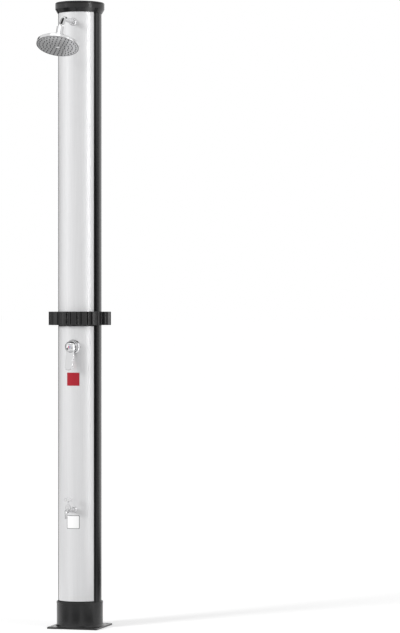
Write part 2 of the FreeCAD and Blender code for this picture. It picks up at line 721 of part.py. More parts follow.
def lever_stem():
    stem = rod(STEM_R, STEM_LOW, STEM_TIP)
    pin_hole = Part.makeCylinder(PIN_R, 4 * STEM_R, V(-2 * STEM_R, 0, LEVER_PIVOT_END), AXIS_X)
    screw_hole = rod(LEVER_SCREW_R, LEVER_SCREW_TIP, STEM_TIP)
    return to_front(stem.cut(pin_hole).cut(screw_hole), MIXER_Z)


def lever_pivot_pin():
    pin = Part.makeCylinder(PIN_R, 2 * EAR_OUTER, V(-EAR_OUTER, 0, LEVER_PIVOT_END), AXIS_X)
    return to_front(pin, MIXER_Z)


def mixer_lever():
    """A domed cap over the bonnet's ball, with a flat rounded paddle hanging from it."""
    low_end = LEVER_PIVOT_END - LEVER_CAP_SKIRT
    ball = Part.makeSphere(LEVER_CAP_R, V(0, 0, LEVER_PIVOT_END))
    cap = ball.common(rod(2 * LEVER_CAP_R, low_end, LEVER_FRONT))
    half = LEVER_PAD_T / 2
    flank = LEVER_WAIST + LEVER_FLARE
    round_r = FULL_ROUND * LEVER_PAD_HALF
    paddle = slab([
        (LEVER_NECK_HALF, 0, 0), (-LEVER_NECK_HALF, 0, 0),
        (-LEVER_NECK_HALF, -LEVER_WAIST, LEVER_CAP_R), (-LEVER_PAD_HALF, -flank, LEVER_CAP_R),
        (-LEVER_PAD_HALF, -LEVER_TIP_REACH, round_r), (LEVER_PAD_HALF, -LEVER_TIP_REACH, round_r),
        (LEVER_PAD_HALF, -flank, LEVER_CAP_R), (LEVER_NECK_HALF, -LEVER_WAIST, LEVER_CAP_R),
    ], -half, LEVER_PAD_T)
    rims = [edge for edge in paddle.Edges if edge.BoundBox.ZLength < TOUCH
            and edge.BoundBox.YMin < -TOUCH]
    paddle = paddle.makeFillet(LEVER_PAD_ROUND, rims)
    paddle.rotate(ORIGIN, AXIS_X, -LEVER_LEAN)
    paddle.translate(V(0, 0, LEVER_PIVOT_END))
    solid = cap.fuse(paddle.cut(rod(LEVER_CAP_R, 0, low_end))).removeSplitter()
    solid = solid.cut(Part.makeSphere(BONNET_BALL_R + SLIP, V(0, 0, LEVER_PIVOT_END)))
    solid = solid.cut(rod(LEVER_SCREW_R, LEVER_PIVOT_END, LEVER_FRONT))
    solid = solid.cut(rod(INDEX_R, INDEX_SEAT - LEVER_SCREW_HEAD_T, LEVER_FRONT))
    return to_front(solid, MIXER_Z)


def lever_screw():
    low = INDEX_SEAT - LEVER_SCREW_HEAD_T
    head = rod(INDEX_R - SLIP, low, INDEX_SEAT)
    shank = rod(LEVER_SCREW_R, LEVER_SCREW_TIP, low)
    return to_front(head.fuse(shank).removeSplitter(), MIXER_Z)


def index_button():
    button = rod(INDEX_R, INDEX_SEAT, LEVER_FRONT)
    return to_front(button, MIXER_Z)


# ---------------------------------------------------------- wall fastenings
def inner_seat(radius):
    """Distance from the axis at which a flat ring of this radius meets the bore."""
    return math.sqrt(TANK_BORE_R ** 2 - radius ** 2) - FACE


def wall_washer(thread_r, rim):
    high = inner_seat(thread_r + rim)
    return tube(thread_r + rim, thread_r, high - WASHER_T, high)


def wall_locknut(thread_r, rim, washer_t):
    """Six-sided nut that pulls a fitting against the tank wall from inside."""
    corner_r = thread_r + rim
    high = inner_seat(corner_r) - washer_t
    corners = []
    for i in range(HEX_SIDES):
        turn = 2 * math.pi * i / HEX_SIDES
        corners.append((corner_r * math.cos(turn), corner_r * math.sin(turn), 0))
    return slab(corners, high - NUT_T, NUT_T).cut(rod(thread_r, high - NUT_T, high))


# ----------------------------------------------------------------- the foot tap
TAP_BONNET_TOP = TAP_Z + TAP_BONNET_H
TAP_HANDLE_LOW = TAP_BONNET_TOP + TAP_STEM_H
TAP_HANDLE_TOP = TAP_HANDLE_LOW + TAP_HANDLE_H
TAP_SPINDLE_LOW = TAP_Z + TAP_BARREL_R + FACE
TAP_SPINDLE_TOP = TAP_HANDLE_TOP - TAP_SPINDLE_DROP
TAP_HEAD_SEAT = TAP_HANDLE_TOP - TAP_SCREW_HEAD_T
TAP_SCREW_TIP = TAP_HANDLE_TOP - TAP_SCREW_L


def at_tap_stem(shape):
    shape = shape.copy()
    shape.translate(V(0, -TAP_STEM_END, 0))
    return shape


def foot_tap_body():
    """Barrel through the wall, a turned-down spout and an upright post for the spindle."""
    spout_low = TAP_Z - TAP_SPOUT_DROP
    route = [V(0, -TAP_TAIL_END, TAP_Z), V(0, -TAP_SPOUT_END, TAP_Z), V(0, -TAP_SPOUT_END, spout_low)]
    spout_start = V(0, -TAP_STEM_END, TAP_Z)
    barrel = to_front(rod(TAP_BARREL_R, TAP_TAIL_END, TAP_STEM_END + TAP_BARREL_R), TAP_Z)
    spout = bent_rod([spout_start] + route[1:], TAP_SPOUT_BEND_R, TAP_SPOUT_R)
    post = at_tap_stem(rod(TAP_BONNET_R, TAP_Z, TAP_BONNET_TOP))
    collar_low = TAP_Z + TAP_COLLAR_LOW
    collar = at_tap_stem(rod(TAP_BONNET_R + TAP_COLLAR_RIM, collar_low, collar_low + TAP_COLLAR_H))
    solid = barrel.fuse([spout, post, collar]).removeSplitter()
    solid = solid.cut(bent_rod(route, TAP_SPOUT_BEND_R, TAP_SPOUT_BORE_R))
    return solid.cut(at_tap_stem(rod(TAP_STEM_R + RUN, TAP_SPINDLE_LOW - FACE, TAP_BONNET_TOP)))


def foot_tap_flange():
    low = inner_seat(TAP_FLANGE_R)
    dome = lathe([
        (TAP_BARREL_R, low, 0), (TAP_FLANGE_R, low, 0),
        (TAP_FLANGE_R, PANEL_R + TAP_FLANGE_T, TAP_FLANGE_T / 2),
        (TAP_BARREL_R, PANEL_R + TAP_FLANGE_T, 0),
    ])
    return against_panel(to_front(dome, TAP_Z), TAP_Z, FACE)


def foot_tap_washer():
    return to_front(wall_washer(TAP_BARREL_R, NUT_RIM), TAP_Z)


def foot_tap_locknut():
    return to_front(wall_locknut(TAP_BARREL_R, NUT_RIM, WASHER_T), TAP_Z)


def spout_aerator():
    top = TAP_Z - TAP_SPOUT_DROP
    shell = tube(AERATOR_R, TAP_SPOUT_BORE_R, top - AERATOR_H, top)
    shell.translate(V(0, -TAP_SPOUT_END, 0))
    return shell


def tap_spindle():
    screw_hole = rod(TAP_SCREW_SHANK_R, TAP_SCREW_TIP, TAP_SPINDLE_TOP)
    return at_tap_stem(rod(TAP_STEM_R, TAP_SPINDLE_LOW, TAP_SPINDLE_TOP).cut(screw_hole))


def tap_handle():
    """A two-winged key: wings with round ends and a waisted hub."""
    half = TAP_HANDLE_SPAN / 2
    thick = TAP_HANDLE_T / 2
    wing = FULL_ROUND * thick
    wings = slab([(-half, -thick, wing), (half, -thick, wing), (half, thick, wing), (-half, thick, wing)],
                 TAP_HANDLE_LOW + TAP_HUB_STEP, TAP_HANDLE_H - TAP_HUB_STEP)
    edges = [edge for edge in wings.Edges if edge.BoundBox.ZLength < TOUCH]
    wings = wings.makeFillet(TAP_HANDLE_ROUND, edges)
    hub = lathe([
        (0, TAP_HANDLE_LOW, 0), (TAP_HANDLE_HUB_R - TAP_HUB_STEP, TAP_HANDLE_LOW, 0),
        (TAP_HANDLE_HUB_R, TAP_HANDLE_LOW + TAP_HUB_STEP, 0),
        (TAP_HANDLE_HUB_R, TAP_HANDLE_TOP, 0), (0, TAP_HANDLE_TOP, 0),
    ])
    solid = wings.fuse(hub).removeSplitter()
    solid = solid.cut(rod(TAP_STEM_R, TAP_HANDLE_LOW, TAP_SPINDLE_TOP))
    solid = solid.cut(rod(TAP_SCREW_R, TAP_SPINDLE_TOP, TAP_HANDLE_TOP))
    solid = solid.cut(rod(TAP_SCREW_HEAD_R, TAP_HEAD_SEAT, TAP_HANDLE_TOP))
    return at_tap_stem(solid)


def tap_handle_screw():
    head = rod(TAP_SCREW_HEAD_R, TAP_HEAD_SEAT, TAP_HANDLE_TOP)
    neck = rod(TAP_SCREW_R, TAP_SPINDLE_TOP, TAP_HEAD_SEAT)
    shank = rod(TAP_SCREW_SHANK_R, TAP_SCREW_TIP, TAP_SPINDLE_TOP)
    slot = Part.makeBox(2 * TAP_SCREW_HEAD_R, TAP_SCREW_SLOT, TAP_SCREW_SLOT,
                        V(-TAP_SCREW_HEAD_R, -TAP_SCREW_SLOT / 2, TAP_HANDLE_TOP - TAP_SCREW_SLOT))
    return at_tap_stem(head.fuse([neck, shank]).removeSplitter().cut(slot))


# --------------------------------------------------------------- the shower arm
BALL = V(0, -BALL_REACH, BALL_Z)
SLOPE = math.radians(ARM_SLOPE)
UP_ARM = V(0, math.cos(SLOPE), math.sin(SLOPE))
ARM_CORNER = BALL + UP_ARM * ((ARM_Z - BALL_Z) / math.sin(SLOPE))
CONE_START = BALL_NECK_L
CONE_END = BALL_NECK_L + BALL_CONE_L


def shower_arm():
    """Bent pipe that ends in a neck and a ball, bored all through."""
    overlap = ARM_R
    pipe_end = BALL + UP_ARM * CONE_END
    route = [V(0, -ARM_TAIL_END, ARM_Z), ARM_CORNER, pipe_end]
    pipe = bent_rod(route, ARM_BEND_R, ARM_R)
    end = lathe([
        (0, 0, 0), (BALL_NECK_R, 0, 0), (BALL_NECK_R, CONE_START, 0), (ARM_R, CONE_END, 0),
        (ARM_R, CONE_END + FACE, 0), (0, CONE_END + FACE, 0),
    ])
    ball = Part.makeSphere(BALL_R)
    end = end.fuse(ball).removeSplitter()
    end = end.cut(rod(BALL_BORE_R, -2 * BALL_R, CONE_END + overlap))
    end.rotate(ORIGIN, AXIS_X, ARM_SLOPE - 90)
    end.translate(BALL)
    bore_end = BALL + UP_ARM * (CONE_END + BALL_CONE_L)
    bore = bent_rod([route[0], ARM_CORNER, bore_end], ARM_BEND_R, ARM_R - ARM_WALL)
    water = rod(BALL_BORE_R, 0, 2 * CONE_END)
    water.rotate(ORIGIN, AXIS_X, ARM_SLOPE - 90)
    water.translate(BALL)
    return pipe.fuse(end).removeSplitter().cut(bore).cut(water)


def arm_flange():
    low = inner_seat(ARM_FLANGE_R)
    high = PANEL_R + ARM_FLANGE_T
    dome = lathe([
        (ARM_R, low, 0), (ARM_FLANGE_R, low, 0), (ARM_FLANGE_R, high - ARM_FLANGE_T / 2, ARM_FLANGE_ROUND),
        (ARM_R + ARM_FLANGE_STEP, high, ARM_FLANGE_STEP), (ARM_R, high, 0),
    ])
    return against_panel(to_front(dome, ARM_Z), ARM_Z, FACE)


def arm_washer():
    return to_front(wall_washer(ARM_R, NUT_RIM), ARM_Z)


def arm_locknut():
    return to_front(wall_locknut(ARM_R, NUT_RIM, WASHER_T), ARM_Z)


# -------------------------------------------------------------- the shower head
SEAT_IN_R = BALL_R + RUN
SEAT_OUT_R = BALL_R + SEAT_WALL
CUP_R = SEAT_OUT_R + SLIP
SPIGOT_R = NUT_R - NUT_WALL
RIM_Z = -HEAD_DROP
HEAD_BORE_R = FACE_R + HEAD_GASKET_W
CHAMBER_R = HEAD_BORE_R - HEAD_LEDGE


def on_head(shape):
    """Tip a shape made about the ball's centre, face down, to the head's tilt."""
    shape = shape.copy()
    shape.rotate(ORIGIN, AXIS_X, -HEAD_TILT)
    shape.translate(BALL)
    return shape


def ball_zone(inner, outer, low, high):
    shell = Part.makeSphere(outer).cut(Part.makeSphere(inner))
    return shell.common(rod(2 * outer, low, high))


def ball_seat():
    return on_head(ball_zone(SEAT_IN_R, SEAT_OUT_R, SEAT_LOW, SEAT_HIGH))


def ball_seal():
    return on_head(ball_zone(SEAT_IN_R, SEAT_OUT_R, SEAL_LOW, SEAL_HIGH))


def swivel_nut():
    """Knurled nut that screws on the head's spigot and holds it to the arm's ball."""
    low = -NUT_LOW
    body = lathe([
        (0, low, 0), (NUT_R, low, NUT_LOW_ROUND), (NUT_R, NUT_TOP, NUT_TOP_ROUND), (0, NUT_TOP, 0),
    ])
    body = body.cut(rod(SPIGOT_R + FACE, low, SEAT_HIGH))
    pocket = Part.makeSphere(CUP_R).common(rod(2 * CUP_R, SEAT_LOW, SEAL_HIGH + SLIP))
    mouth = Part.makeSphere(BALL_R + SLIP)
    body = body.cut(pocket).cut(mouth).cut(rod(NUT_MOUTH_R, 0, 2 * NUT_TOP))
    return on_head(body)


def head_shell():
    """Chromed drum with a rolled rim, a low dome and a threaded spigot for the nut."""
    rim_top = RIM_Z + HEAD_RIM_H
    dome_low = rim_top + HEAD_EDGE_R / 2
    dome_top = dome_low + HEAD_DOME_H
    ledge = RIM_Z + FACE_T + HEAD_GASKET_H
    inside_top = dome_top - HEAD_WALL
    shell = lathe([
        (HEAD_BORE_R, RIM_Z, 0), (HEAD_R, RIM_Z, HEAD_RIM_ROUND), (HEAD_R, rim_top, HEAD_EDGE_R),
        (HEAD_R - HEAD_SHOULDER, dome_low, HEAD_SHOULDER),
        (HEAD_BOSS_R + HEAD_SHOULDER, dome_top, HEAD_SHOULDER),
        (HEAD_BOSS_R, dome_top + HEAD_SHOULDER, HEAD_WALL),
        (HEAD_BOSS_R, -HEAD_BOSS_TOP, HEAD_WALL),
        (SPIGOT_R, -HEAD_BOSS_TOP, 0), (SPIGOT_R, -SPIGOT_DROP, 0),
        (WATERWAY_R, -SPIGOT_DROP, 0), (WATERWAY_R, inside_top, 0),
        (HEAD_BOSS_R + HEAD_SHOULDER, inside_top, 0),
        (CHAMBER_R, rim_top - HEAD_WALL, 0), (CHAMBER_R, ledge, 0), (HEAD_BORE_R, ledge, 0),
    ])
    return on_head(shell.cut(Part.makeSphere(CUP_R)))


def face_plate():
    """The grey disc that carries the nozzles, slightly crowned."""
    curve = (FACE_R ** 2 + FACE_CROWN ** 2) / (2 * FACE_CROWN)
    low = RIM_Z - FACE_CROWN
    crown = Part.makeSphere(curve, V(0, 0, low + curve))
    disc = rod(FACE_R, low - FACE_CROWN, RIM_Z + FACE_T)
    return on_head(disc.common(crown))


def face_gasket():
    """Black rubber ring behind the face's edge, its skirt between the face and the rim."""
    low = RIM_Z + FACE_T
    bed = tube(HEAD_BORE_R, CHAMBER_R, low, low + HEAD_GASKET_H)
    skirt = tube(HEAD_BORE_R, FACE_R, RIM_Z + HEAD_GASKET_SET_IN, low)
    return on_head(bed.fuse(skirt).removeSplitter())


def spray_nozzles():
    """Soft nozzle tips in rings, each standing on the crowned face."""
    curve = (FACE_R ** 2 + FACE_CROWN ** 2) / (2 * FACE_CROWN)
    centre = RIM_Z - FACE_CROWN + curve
    tips = []
    for ring in range(1, NOZZLE_RING_COUNT + 1):
        radius, count = ring * NOZZLE_RING_STEP, ring * NOZZLE_COUNT_STEP
        base = centre - math.sqrt(curve ** 2 - (radius - NOZZLE_R) ** 2)
        for i in range(count):
            turn = 2 * math.pi * i / count
            x, y = radius * math.cos(turn), radius * math.sin(turn)
            outline = []
            for k in range(HEX_SIDES + 1):
                side = 2 * math.pi * k / HEX_SIDES
                outline.append(V(x + NOZZLE_R * math.cos(side), y + NOZZLE_R * math.sin(side), base))
            tips.append(Part.Face(Part.makePolygon(outline)).extrude(V(0, 0, -NOZZLE_H)))
    return on_head(Part.makeCompound(tips))


def filter_washer():
    """Perforated disc across the head's waterway."""
    low = -HEAD_BOSS_TOP
    disc = rod(WATERWAY_R - RUN, low, low + FILTER_T)
    for i in range(FILTER_HOLE_COUNT):
        hole = rod(FILTER_HOLE_R, low, low + FILTER_T)
        hole.translate(on_circle(FILTER_HOLE_CIRCLE_R, 360 * i / FILTER_HOLE_COUNT))
        disc = disc.cut(hole)
    return on_head(disc)


# --------------------------------------------------------------------- plumbing
INLET_TAIL_END = inner_seat(INLET_NECK_R + NUT_RIM) - NUT_T - WASHER_T


def hose_inlet():
    """Threaded hose union at the back, its tail through the tank wall."""
    flange_low = TANK_R + WASHER_T
    flange_high = flange_low + INLET_FLANGE_T
    solid = lathe([
        (INLET_BORE_R, INLET_TAIL_END, 0), (INLET_NECK_R, INLET_TAIL_END, 0),
        (INLET_NECK_R, flange_low, 0), (INLET_FLANGE_R, flange_low, 0),
        (INLET_FLANGE_R, flange_high, INLET_ROUND), (INLET_R, flange_high, 0),
        (INLET_R, flange_high + INLET_L, 0), (INLET_BORE_R, flange_high + INLET_L, 0),
    ])
    return to_back(solid, INLET_Z)


def outer_washer(radius, thread_r, z):
    """Rubber washer outside the wall, its back curved to the tank."""
    blank = tube(radius, thread_r, inner_seat(radius), TANK_R + WASHER_T)
    return to_back(blank, z).cut(rod(TANK_R, z - TANK_R, z + TANK_R))


def hose_inlet_washer():
    return outer_washer(INLET_FLANGE_R, INLET_NECK_R, INLET_Z)


def hose_inlet_locknut():
    return to_back(wall_locknut(INLET_NECK_R, NUT_RIM, 0), INLET_Z)


def drain_plug():
    """Slotted screw plug that empties the tank."""
    low = inner_seat(DRAIN_R) - DRAIN_STICK_IN
    flange_low = TANK_R + WASHER_T
    high = flange_low + DRAIN_HEAD_T
    plug = lathe([
        (0, low, 0), (DRAIN_R, low, 0), (DRAIN_R, flange_low, 0), (DRAIN_HEAD_R, flange_low, 0),
        (DRAIN_HEAD_R, high, INLET_ROUND), (0, high, 0),
    ])
    slot = Part.makeBox(2 * DRAIN_HEAD_R, DRAIN_SLOT, DRAIN_SLOT,
                        V(-DRAIN_HEAD_R, -DRAIN_SLOT / 2, high - DRAIN_SLOT))
    return to_back(plug.cut(slot), DRAIN_Z)


def drain_washer():
    return outer_washer(DRAIN_HEAD_R, DRAIN_R, DRAIN_Z)


def pipe(points):
    return bent_pipe(points, PIPE_BEND_R, PIPE_R, PIPE_WALL)


def cold_feed_pipe():
    """Runs from the hose inlet, through the tee, up to the mixer's left boss."""
    return pipe([
        V(0, INLET_TAIL_END, INLET_Z), V(0, 0, INLET_Z), V(-SIDE_PIPE_X, -PIPE_END, INLET_Z),
        V(-SIDE_PIPE_X, -PIPE_END, MIXER_Z), V(-MIXER_BOSS_X, -PIPE_END, MIXER_Z),
    ])


def warm_draw_pipe():
    """Takes warm water from the top of the tank down to the mixer's right boss."""
    return pipe([
        V(SIDE_PIPE_X, -PIPE_END, WARM_PIPE_TOP_Z), V(SIDE_PIPE_X, -PIPE_END, MIXER_Z),
        V(MIXER_BOSS_X, -PIPE_END, MIXER_Z),
    ])


def shower_riser_pipe():
    """Carries mixed water from the mixer's outlet up to the arm."""
    return pipe([
        V(0, -RISER_END, MIXER_OUTLET_Z), V(0, -RISER_END, ARM_Z), V(0, -ARM_TAIL_END, ARM_Z),
    ])


def feed_tee():
    """Sleeve round the cold feed with a branch that points to the back."""
    low, high = TAP_Z - TEE_H / 2, TAP_Z + TEE_H / 2
    sleeve = rod(TEE_R, low, high)
    branch = Part.makeCylinder(TEE_R, TEE_BRANCH, V(0, 0, TAP_Z), AXIS_Y)
    bore = Part.makeCylinder(PIPE_R - PIPE_WALL, TEE_BRANCH, V(0, 0, TAP_Z), AXIS_Y)
    solid = sleeve.fuse(branch).removeSplitter().cut(bore).cut(rod(PIPE_R, low, high))
    solid.translate(V(-SIDE_PIPE_X, -PIPE_END, 0))
    return solid


def foot_tap_pipe():
    """Loops from the tee's branch round to the tail of the foot tap."""
    start_y = TEE_BRANCH - PIPE_END
    loop_y = start_y + PIPE_BEND_R + LOOP_RUN
    return pipe([
        V(-SIDE_PIPE_X, start_y, TAP_Z), V(-SIDE_PIPE_X, loop_y, TAP_Z), V(0, loop_y, TAP_Z),
        V(0, -TAP_TAIL_END, TAP_Z),
    ])


NODES = {
    "foot": foot,
    "lower_tank_tube": lower_tank_tube,
    "upper_tank_tube": upper_tank_tube,
    "lower_front_panel": lower_front_panel,
    "upper_front_panel": upper_front_panel,
    "tank_bottom_plug": lambda: end_plug(BOTTOM_PLUG_Z, True),
    "bottom_plug_seal": lambda: plug_seal(BOTTOM_PLUG_Z),
    "tank_top_plug": lambda: end_plug(TOP_PLUG_Z, False),
    "top_plug_seal": lambda: plug_seal(TOP_PLUG_Z),
    "top_cap": top_cap,
    "lower_union_collar": lower_union_collar,
    "upper_union_collar": upper_union_collar,
    "union_seal": union_seal,
    "union_ring_nut": union_ring_nut,
    "mixer_body": mixer_body,
    "mixer_locknut": mixer_locknut,
    "escutcheon_gasket": escutcheon_gasket,
    "mixer_escutcheon": mixer_escutcheon,
    "mixer_cartridge": mixer_cartridge,
    "mixer_bonnet": mixer_bonnet,
    "cartridge_rotor": cartridge_rotor,
    "lever_stem": lever_stem,
    "lever_pivot_pin": lever_pivot_pin,
    "mixer_lever": mixer_lever,
    "lever_screw": lever_screw,
    "index_button": index_button,
    "foot_tap_body": foot_tap_body,
    "foot_tap_flange": foot_tap_flange,
    "foot_tap_washer": foot_tap_washer,
    "foot_tap_locknut": foot_tap_locknut,
    "spout_aerator": spout_aerator,
    "tap_spindle": tap_spindle,
    "tap_handle": tap_handle,
    "tap_handle_screw": tap_handle_screw,
    "shower_arm": shower_arm,
    "arm_flange": arm_flange,
    "arm_washer": arm_washer,
    "arm_locknut": arm_locknut,
    "ball_seat": ball_seat,
    "ball_seal": ball_seal,
    "swivel_nut": swivel_nut,
    "head_shell": head_shell,
    "face_plate": face_plate,
    "face_gasket": face_gasket,
    "spray_nozzles": spray_nozzles,
    "filter_washer": filter_washer,
    "hose_inlet": hose_inlet,
    "hose_inlet_washer": hose_inlet_washer,
    "hose_inlet_locknut": hose_inlet_locknut,
    "drain_plug": drain_plug,
    "drain_washer": drain_washer,
    "cold_feed_pipe": cold_feed_pipe,
    "warm_draw_pipe": warm_draw_pipe,
    "shower_riser_pipe": shower_riser_pipe,
    "feed_tee": feed_tee,
    "foot_tap_pipe": foot_tap_pipe,
}


def main():
    os.makedirs("parts", exist_ok=True)
    for node, make in NODES.items():
        shape = make()
        shape.exportStep(f"parts/{node}.step")
        print(f"{node:22s} solids {len(shape.Solids):3d}  volume {shape.Volume / 1000:9.2f} cm3"
              f"  valid {shape.isValid()}")


main()
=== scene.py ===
# %% [markdown]
# # An outdoor shower post
# The real thing is a black plastic column that holds water and warms it in the
# sun, with a bright metal strip down its front and a few chromed fittings.
# The exact solids come in as a fixed frame. This script gives them their
# finishes, adds the small shapes that only the eye needs, and lights them.

# %% Load the frame
import bpy
import bmesh
import json
import math
from mathutils import Matrix, Vector


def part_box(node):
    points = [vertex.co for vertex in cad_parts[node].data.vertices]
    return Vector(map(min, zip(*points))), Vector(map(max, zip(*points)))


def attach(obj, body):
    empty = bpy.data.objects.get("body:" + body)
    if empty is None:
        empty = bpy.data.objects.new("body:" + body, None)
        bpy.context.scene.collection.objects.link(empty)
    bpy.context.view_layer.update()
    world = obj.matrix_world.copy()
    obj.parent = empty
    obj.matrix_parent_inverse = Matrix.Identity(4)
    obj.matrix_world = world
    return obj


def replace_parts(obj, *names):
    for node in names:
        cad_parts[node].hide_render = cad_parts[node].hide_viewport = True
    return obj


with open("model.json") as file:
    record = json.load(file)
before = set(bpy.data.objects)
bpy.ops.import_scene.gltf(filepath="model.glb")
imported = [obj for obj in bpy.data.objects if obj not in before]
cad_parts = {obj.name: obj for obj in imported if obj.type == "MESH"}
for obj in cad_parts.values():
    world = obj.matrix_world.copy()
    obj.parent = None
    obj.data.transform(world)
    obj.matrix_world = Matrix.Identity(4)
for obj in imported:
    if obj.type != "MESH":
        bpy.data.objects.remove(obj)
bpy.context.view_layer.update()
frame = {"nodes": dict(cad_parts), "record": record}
nodes = frame["nodes"]

# %% [markdown]
# ## Millimetres and colours
# Drawings of taps and tubes are in millimetres while Blender works in metres,
# so one factor stands at the top. Colours are given as sRGB hex codes, the way
# a paint chart gives them. A shader wants linear light, so one function turns
# each code into linear numbers.

# %% Units and colour
MM = 0.001
WHITE = (1, 1, 1, 1)


def linear(code):
    """sRGB hex, such as "A0A0A0", as linear red, green, blue and alpha."""
    values = []
    for i in (0, 2, 4):
        c = int(code[i:i + 2], 16) / 255
        values.append(c / 12.92 if c <= 0.04045 else ((c + 0.055) / 1.055) ** 2.4)
    return (*values, 1.0)


print("mid grey in linear light:", round(linear("808080")[0], 3))

# %% [markdown]
# ## One helper for all shader nodes
# A finish is a small network of nodes. Instead of one function for each kind
# of node, a single helper adds any kind, fills in its settings and inputs, and
# links sockets when it is given another node's output.


# %% Add a node
def add_node(tree, kind, settings=None, **inputs):
    """A shader node. Inputs are values, colours or sockets of other nodes.

    An input goes by its name, with _ for a space, or by its number, as in i0.
    """
    node = tree.nodes.new(kind)
    for name, value in (settings or {}).items():
        setattr(node, name, value)
    for name, value in inputs.items():
        key = int(name[1:]) if name[0] == "i" and name[1:].isdigit() else name.replace("_", " ")
        if isinstance(value, bpy.types.NodeSocket):
            tree.links.new(value, node.inputs[key])
        else:
            node.inputs[key].default_value = value
    return node


def new_material(name, **shader_inputs):
    """A material with one main shader. Returns the material, its tree and the shader."""
    material = bpy.data.materials.new(name)
    material.use_nodes = True
    tree = material.node_tree
    shader = tree.nodes["Principled BSDF"]
    for key, value in shader_inputs.items():
        shader.inputs[key.replace("_", " ")].default_value = value
    return material, tree, shader


print("node helpers ready")

# %% [markdown]
# ## What makes a surface look real
# No real skin is even. Noise that is fixed to the object lets colour, gloss and
# height wander a little. Its stretch counts cycles in a metre along each axis,
# so a small stretch along Z draws lines that run up and down.


# %% Patterns
def noise(tree, stretch, detail, scale=1.0):
    """Noise from 0 to 1 that stays put on the object when it moves."""
    place = add_node(tree, "ShaderNodeTexCoord")
    space = add_node(tree, "ShaderNodeMapping", Vector=place.outputs["Object"], Scale=stretch)
    return add_node(tree, "ShaderNodeTexNoise", Vector=space.outputs[0],
                    Scale=scale, Detail=detail).outputs["Fac"]


def colour_ramp(tree, shader, factor, stops):
    """Takes the base colour from stops of (place, hex code)."""
    node = add_node(tree, "ShaderNodeValToRGB", Fac=factor)
    elements = node.color_ramp.elements
    while len(elements) < len(stops):
        elements.new(0.5)
    for element, (place, code) in zip(elements, stops):
        element.position = place
        element.color = linear(code)
    tree.links.new(node.outputs["Color"], shader.inputs["Base Color"])


def wandering_roughness(tree, shader, factor, low, high, **limits):
    """Lets the roughness go from low to high with the factor."""
    spread = add_node(tree, "ShaderNodeMapRange", Value=factor, To_Min=low, To_Max=high, **limits)
    tree.links.new(spread.outputs["Result"], shader.inputs["Roughness"])


def bump(tree, shader, height, depth_mm):
    """Raises the surface by up to depth_mm where height is 1."""
    node = add_node(tree, "ShaderNodeBump", Strength=1.0, Distance=depth_mm * MM, Height=height)
    tree.links.new(node.outputs["Normal"], shader.inputs["Normal"])


FINISHES = {}                   # one for each material slot of the solids
print("pattern helpers ready")

# %% [markdown]
# ## Black plastic
# The column is an extruded PVC profile. It leaves a die, so its skin is smooth
# with faint lines along its length. The cap, the foot and the big nut are
# moulded, so theirs is even and slightly rough. Both plastics reflect about
# four per cent head on, which is an IOR near 1.5.


# %% Extruded PVC
def extruded_pvc():
    material, tree, shader = new_material("extruded_pvc", IOR=1.5, Metallic=0.0)
    line_mm = 3.0       # real die lines are finer: drawn coarser so that they show
    across = 1 / (line_mm * MM)
    lines = noise(tree, (across, across, 0.6), detail=3.0)
    wide = noise(tree, (9, 9, 2), detail=4.0)
    colour_ramp(tree, shader, wide, [(0.3, "08080A"), (0.7, "0F1011")])
    wandering_roughness(tree, shader, wide, 0.2, 0.3)
    bump(tree, shader, lines, 0.03)
    return material


FINISHES["black_pvc"] = extruded_pvc()
print("made", FINISHES["black_pvc"].name)


# %% Moulded black plastic
def moulded_black():
    material, tree, shader = new_material("moulded_black_abs", IOR=1.5, Metallic=0.0)
    grain_mm = 1.2      # spark texture of a mould, drawn about three times as coarse
    grain = noise(tree, (1, 1, 1), detail=2.0, scale=1 / (grain_mm * MM))
    wide = noise(tree, (14, 14, 14), detail=4.0)
    colour_ramp(tree, shader, wide, [(0.3, "0A0A0B"), (0.7, "121213")])
    wandering_roughness(tree, shader, wide, 0.2, 0.3)
    bump(tree, shader, grain, 0.04)
    return material


FINISHES["black_moulding"] = moulded_black()
print("made", FINISHES["black_moulding"].name)

# %% [markdown]
# ## Anodised aluminium
# The bright strip is rolled sheet, brushed along its length and anodised. The
# brush leaves fine scratches that run up and down, which spread a highlight
# sideways. The clear oxide on top scatters light too, so the strip is only half
# as metallic as bare sheet.


# %% Anodised aluminium
def anodised_aluminium():
    material, tree, shader = new_material("anodised_aluminium", Metallic=0.5)
    scratch_mm = 0.9    # real ones are near 0.1 mm wide: drawn coarser so that they show
    across = 1 / (scratch_mm * MM)
    scratch = noise(tree, (across, across, 5.0), detail=4.0)
    wide = noise(tree, (20, 20, 1.5), detail=3.0)
    colour_ramp(tree, shader, scratch, [(0.25, "D6D6D7"), (0.75, "E2E2E3")])
    wandering_roughness(tree, shader, wide, 0.36, 0.44)
    bump(tree, shader, scratch, 0.008)
    return material


FINISHES["anodised_aluminium"] = anodised_aluminium()
print("made", FINISHES["anodised_aluminium"].name)

# %% [markdown]
# ## Chrome
# Brass fittings are polished and then plated with nickel and chromium. The
# plating is a near mirror, almost neutral in colour. Handling and water leave
# thin hazy patches, so the roughness wanders a little.


# %% Chrome plating
def chrome_plating():
    material, tree, shader = new_material("chrome_plating", Metallic=1.0,
                                          Base_Color=linear("DADADB"))
    haze = noise(tree, (60, 60, 60), detail=5.0)
    wandering_roughness(tree, shader, haze, 0.02, 0.07, From_Min=0.4, From_Max=0.75)
    return material


FINISHES["chrome"] = chrome_plating()
print("made", FINISHES["chrome"].name)

# %% [markdown]
# ## Grained finishes
# Turned metal carries fine tool marks and moulded plastic the grain of its
# mould. At this size both are an even, fine noise that breaks the gloss, so one
# function makes them. The valve body, the nuts and the hose union are brass
# bar, left bare. The pin, the screws and the filter are stainless steel. The
# face of the shower head is plastic under a satin chrome skin, so it looks like
# metal too. Seals are matt black rubber with an IOR near 1.52, and the pipes
# inside are undyed polymer.


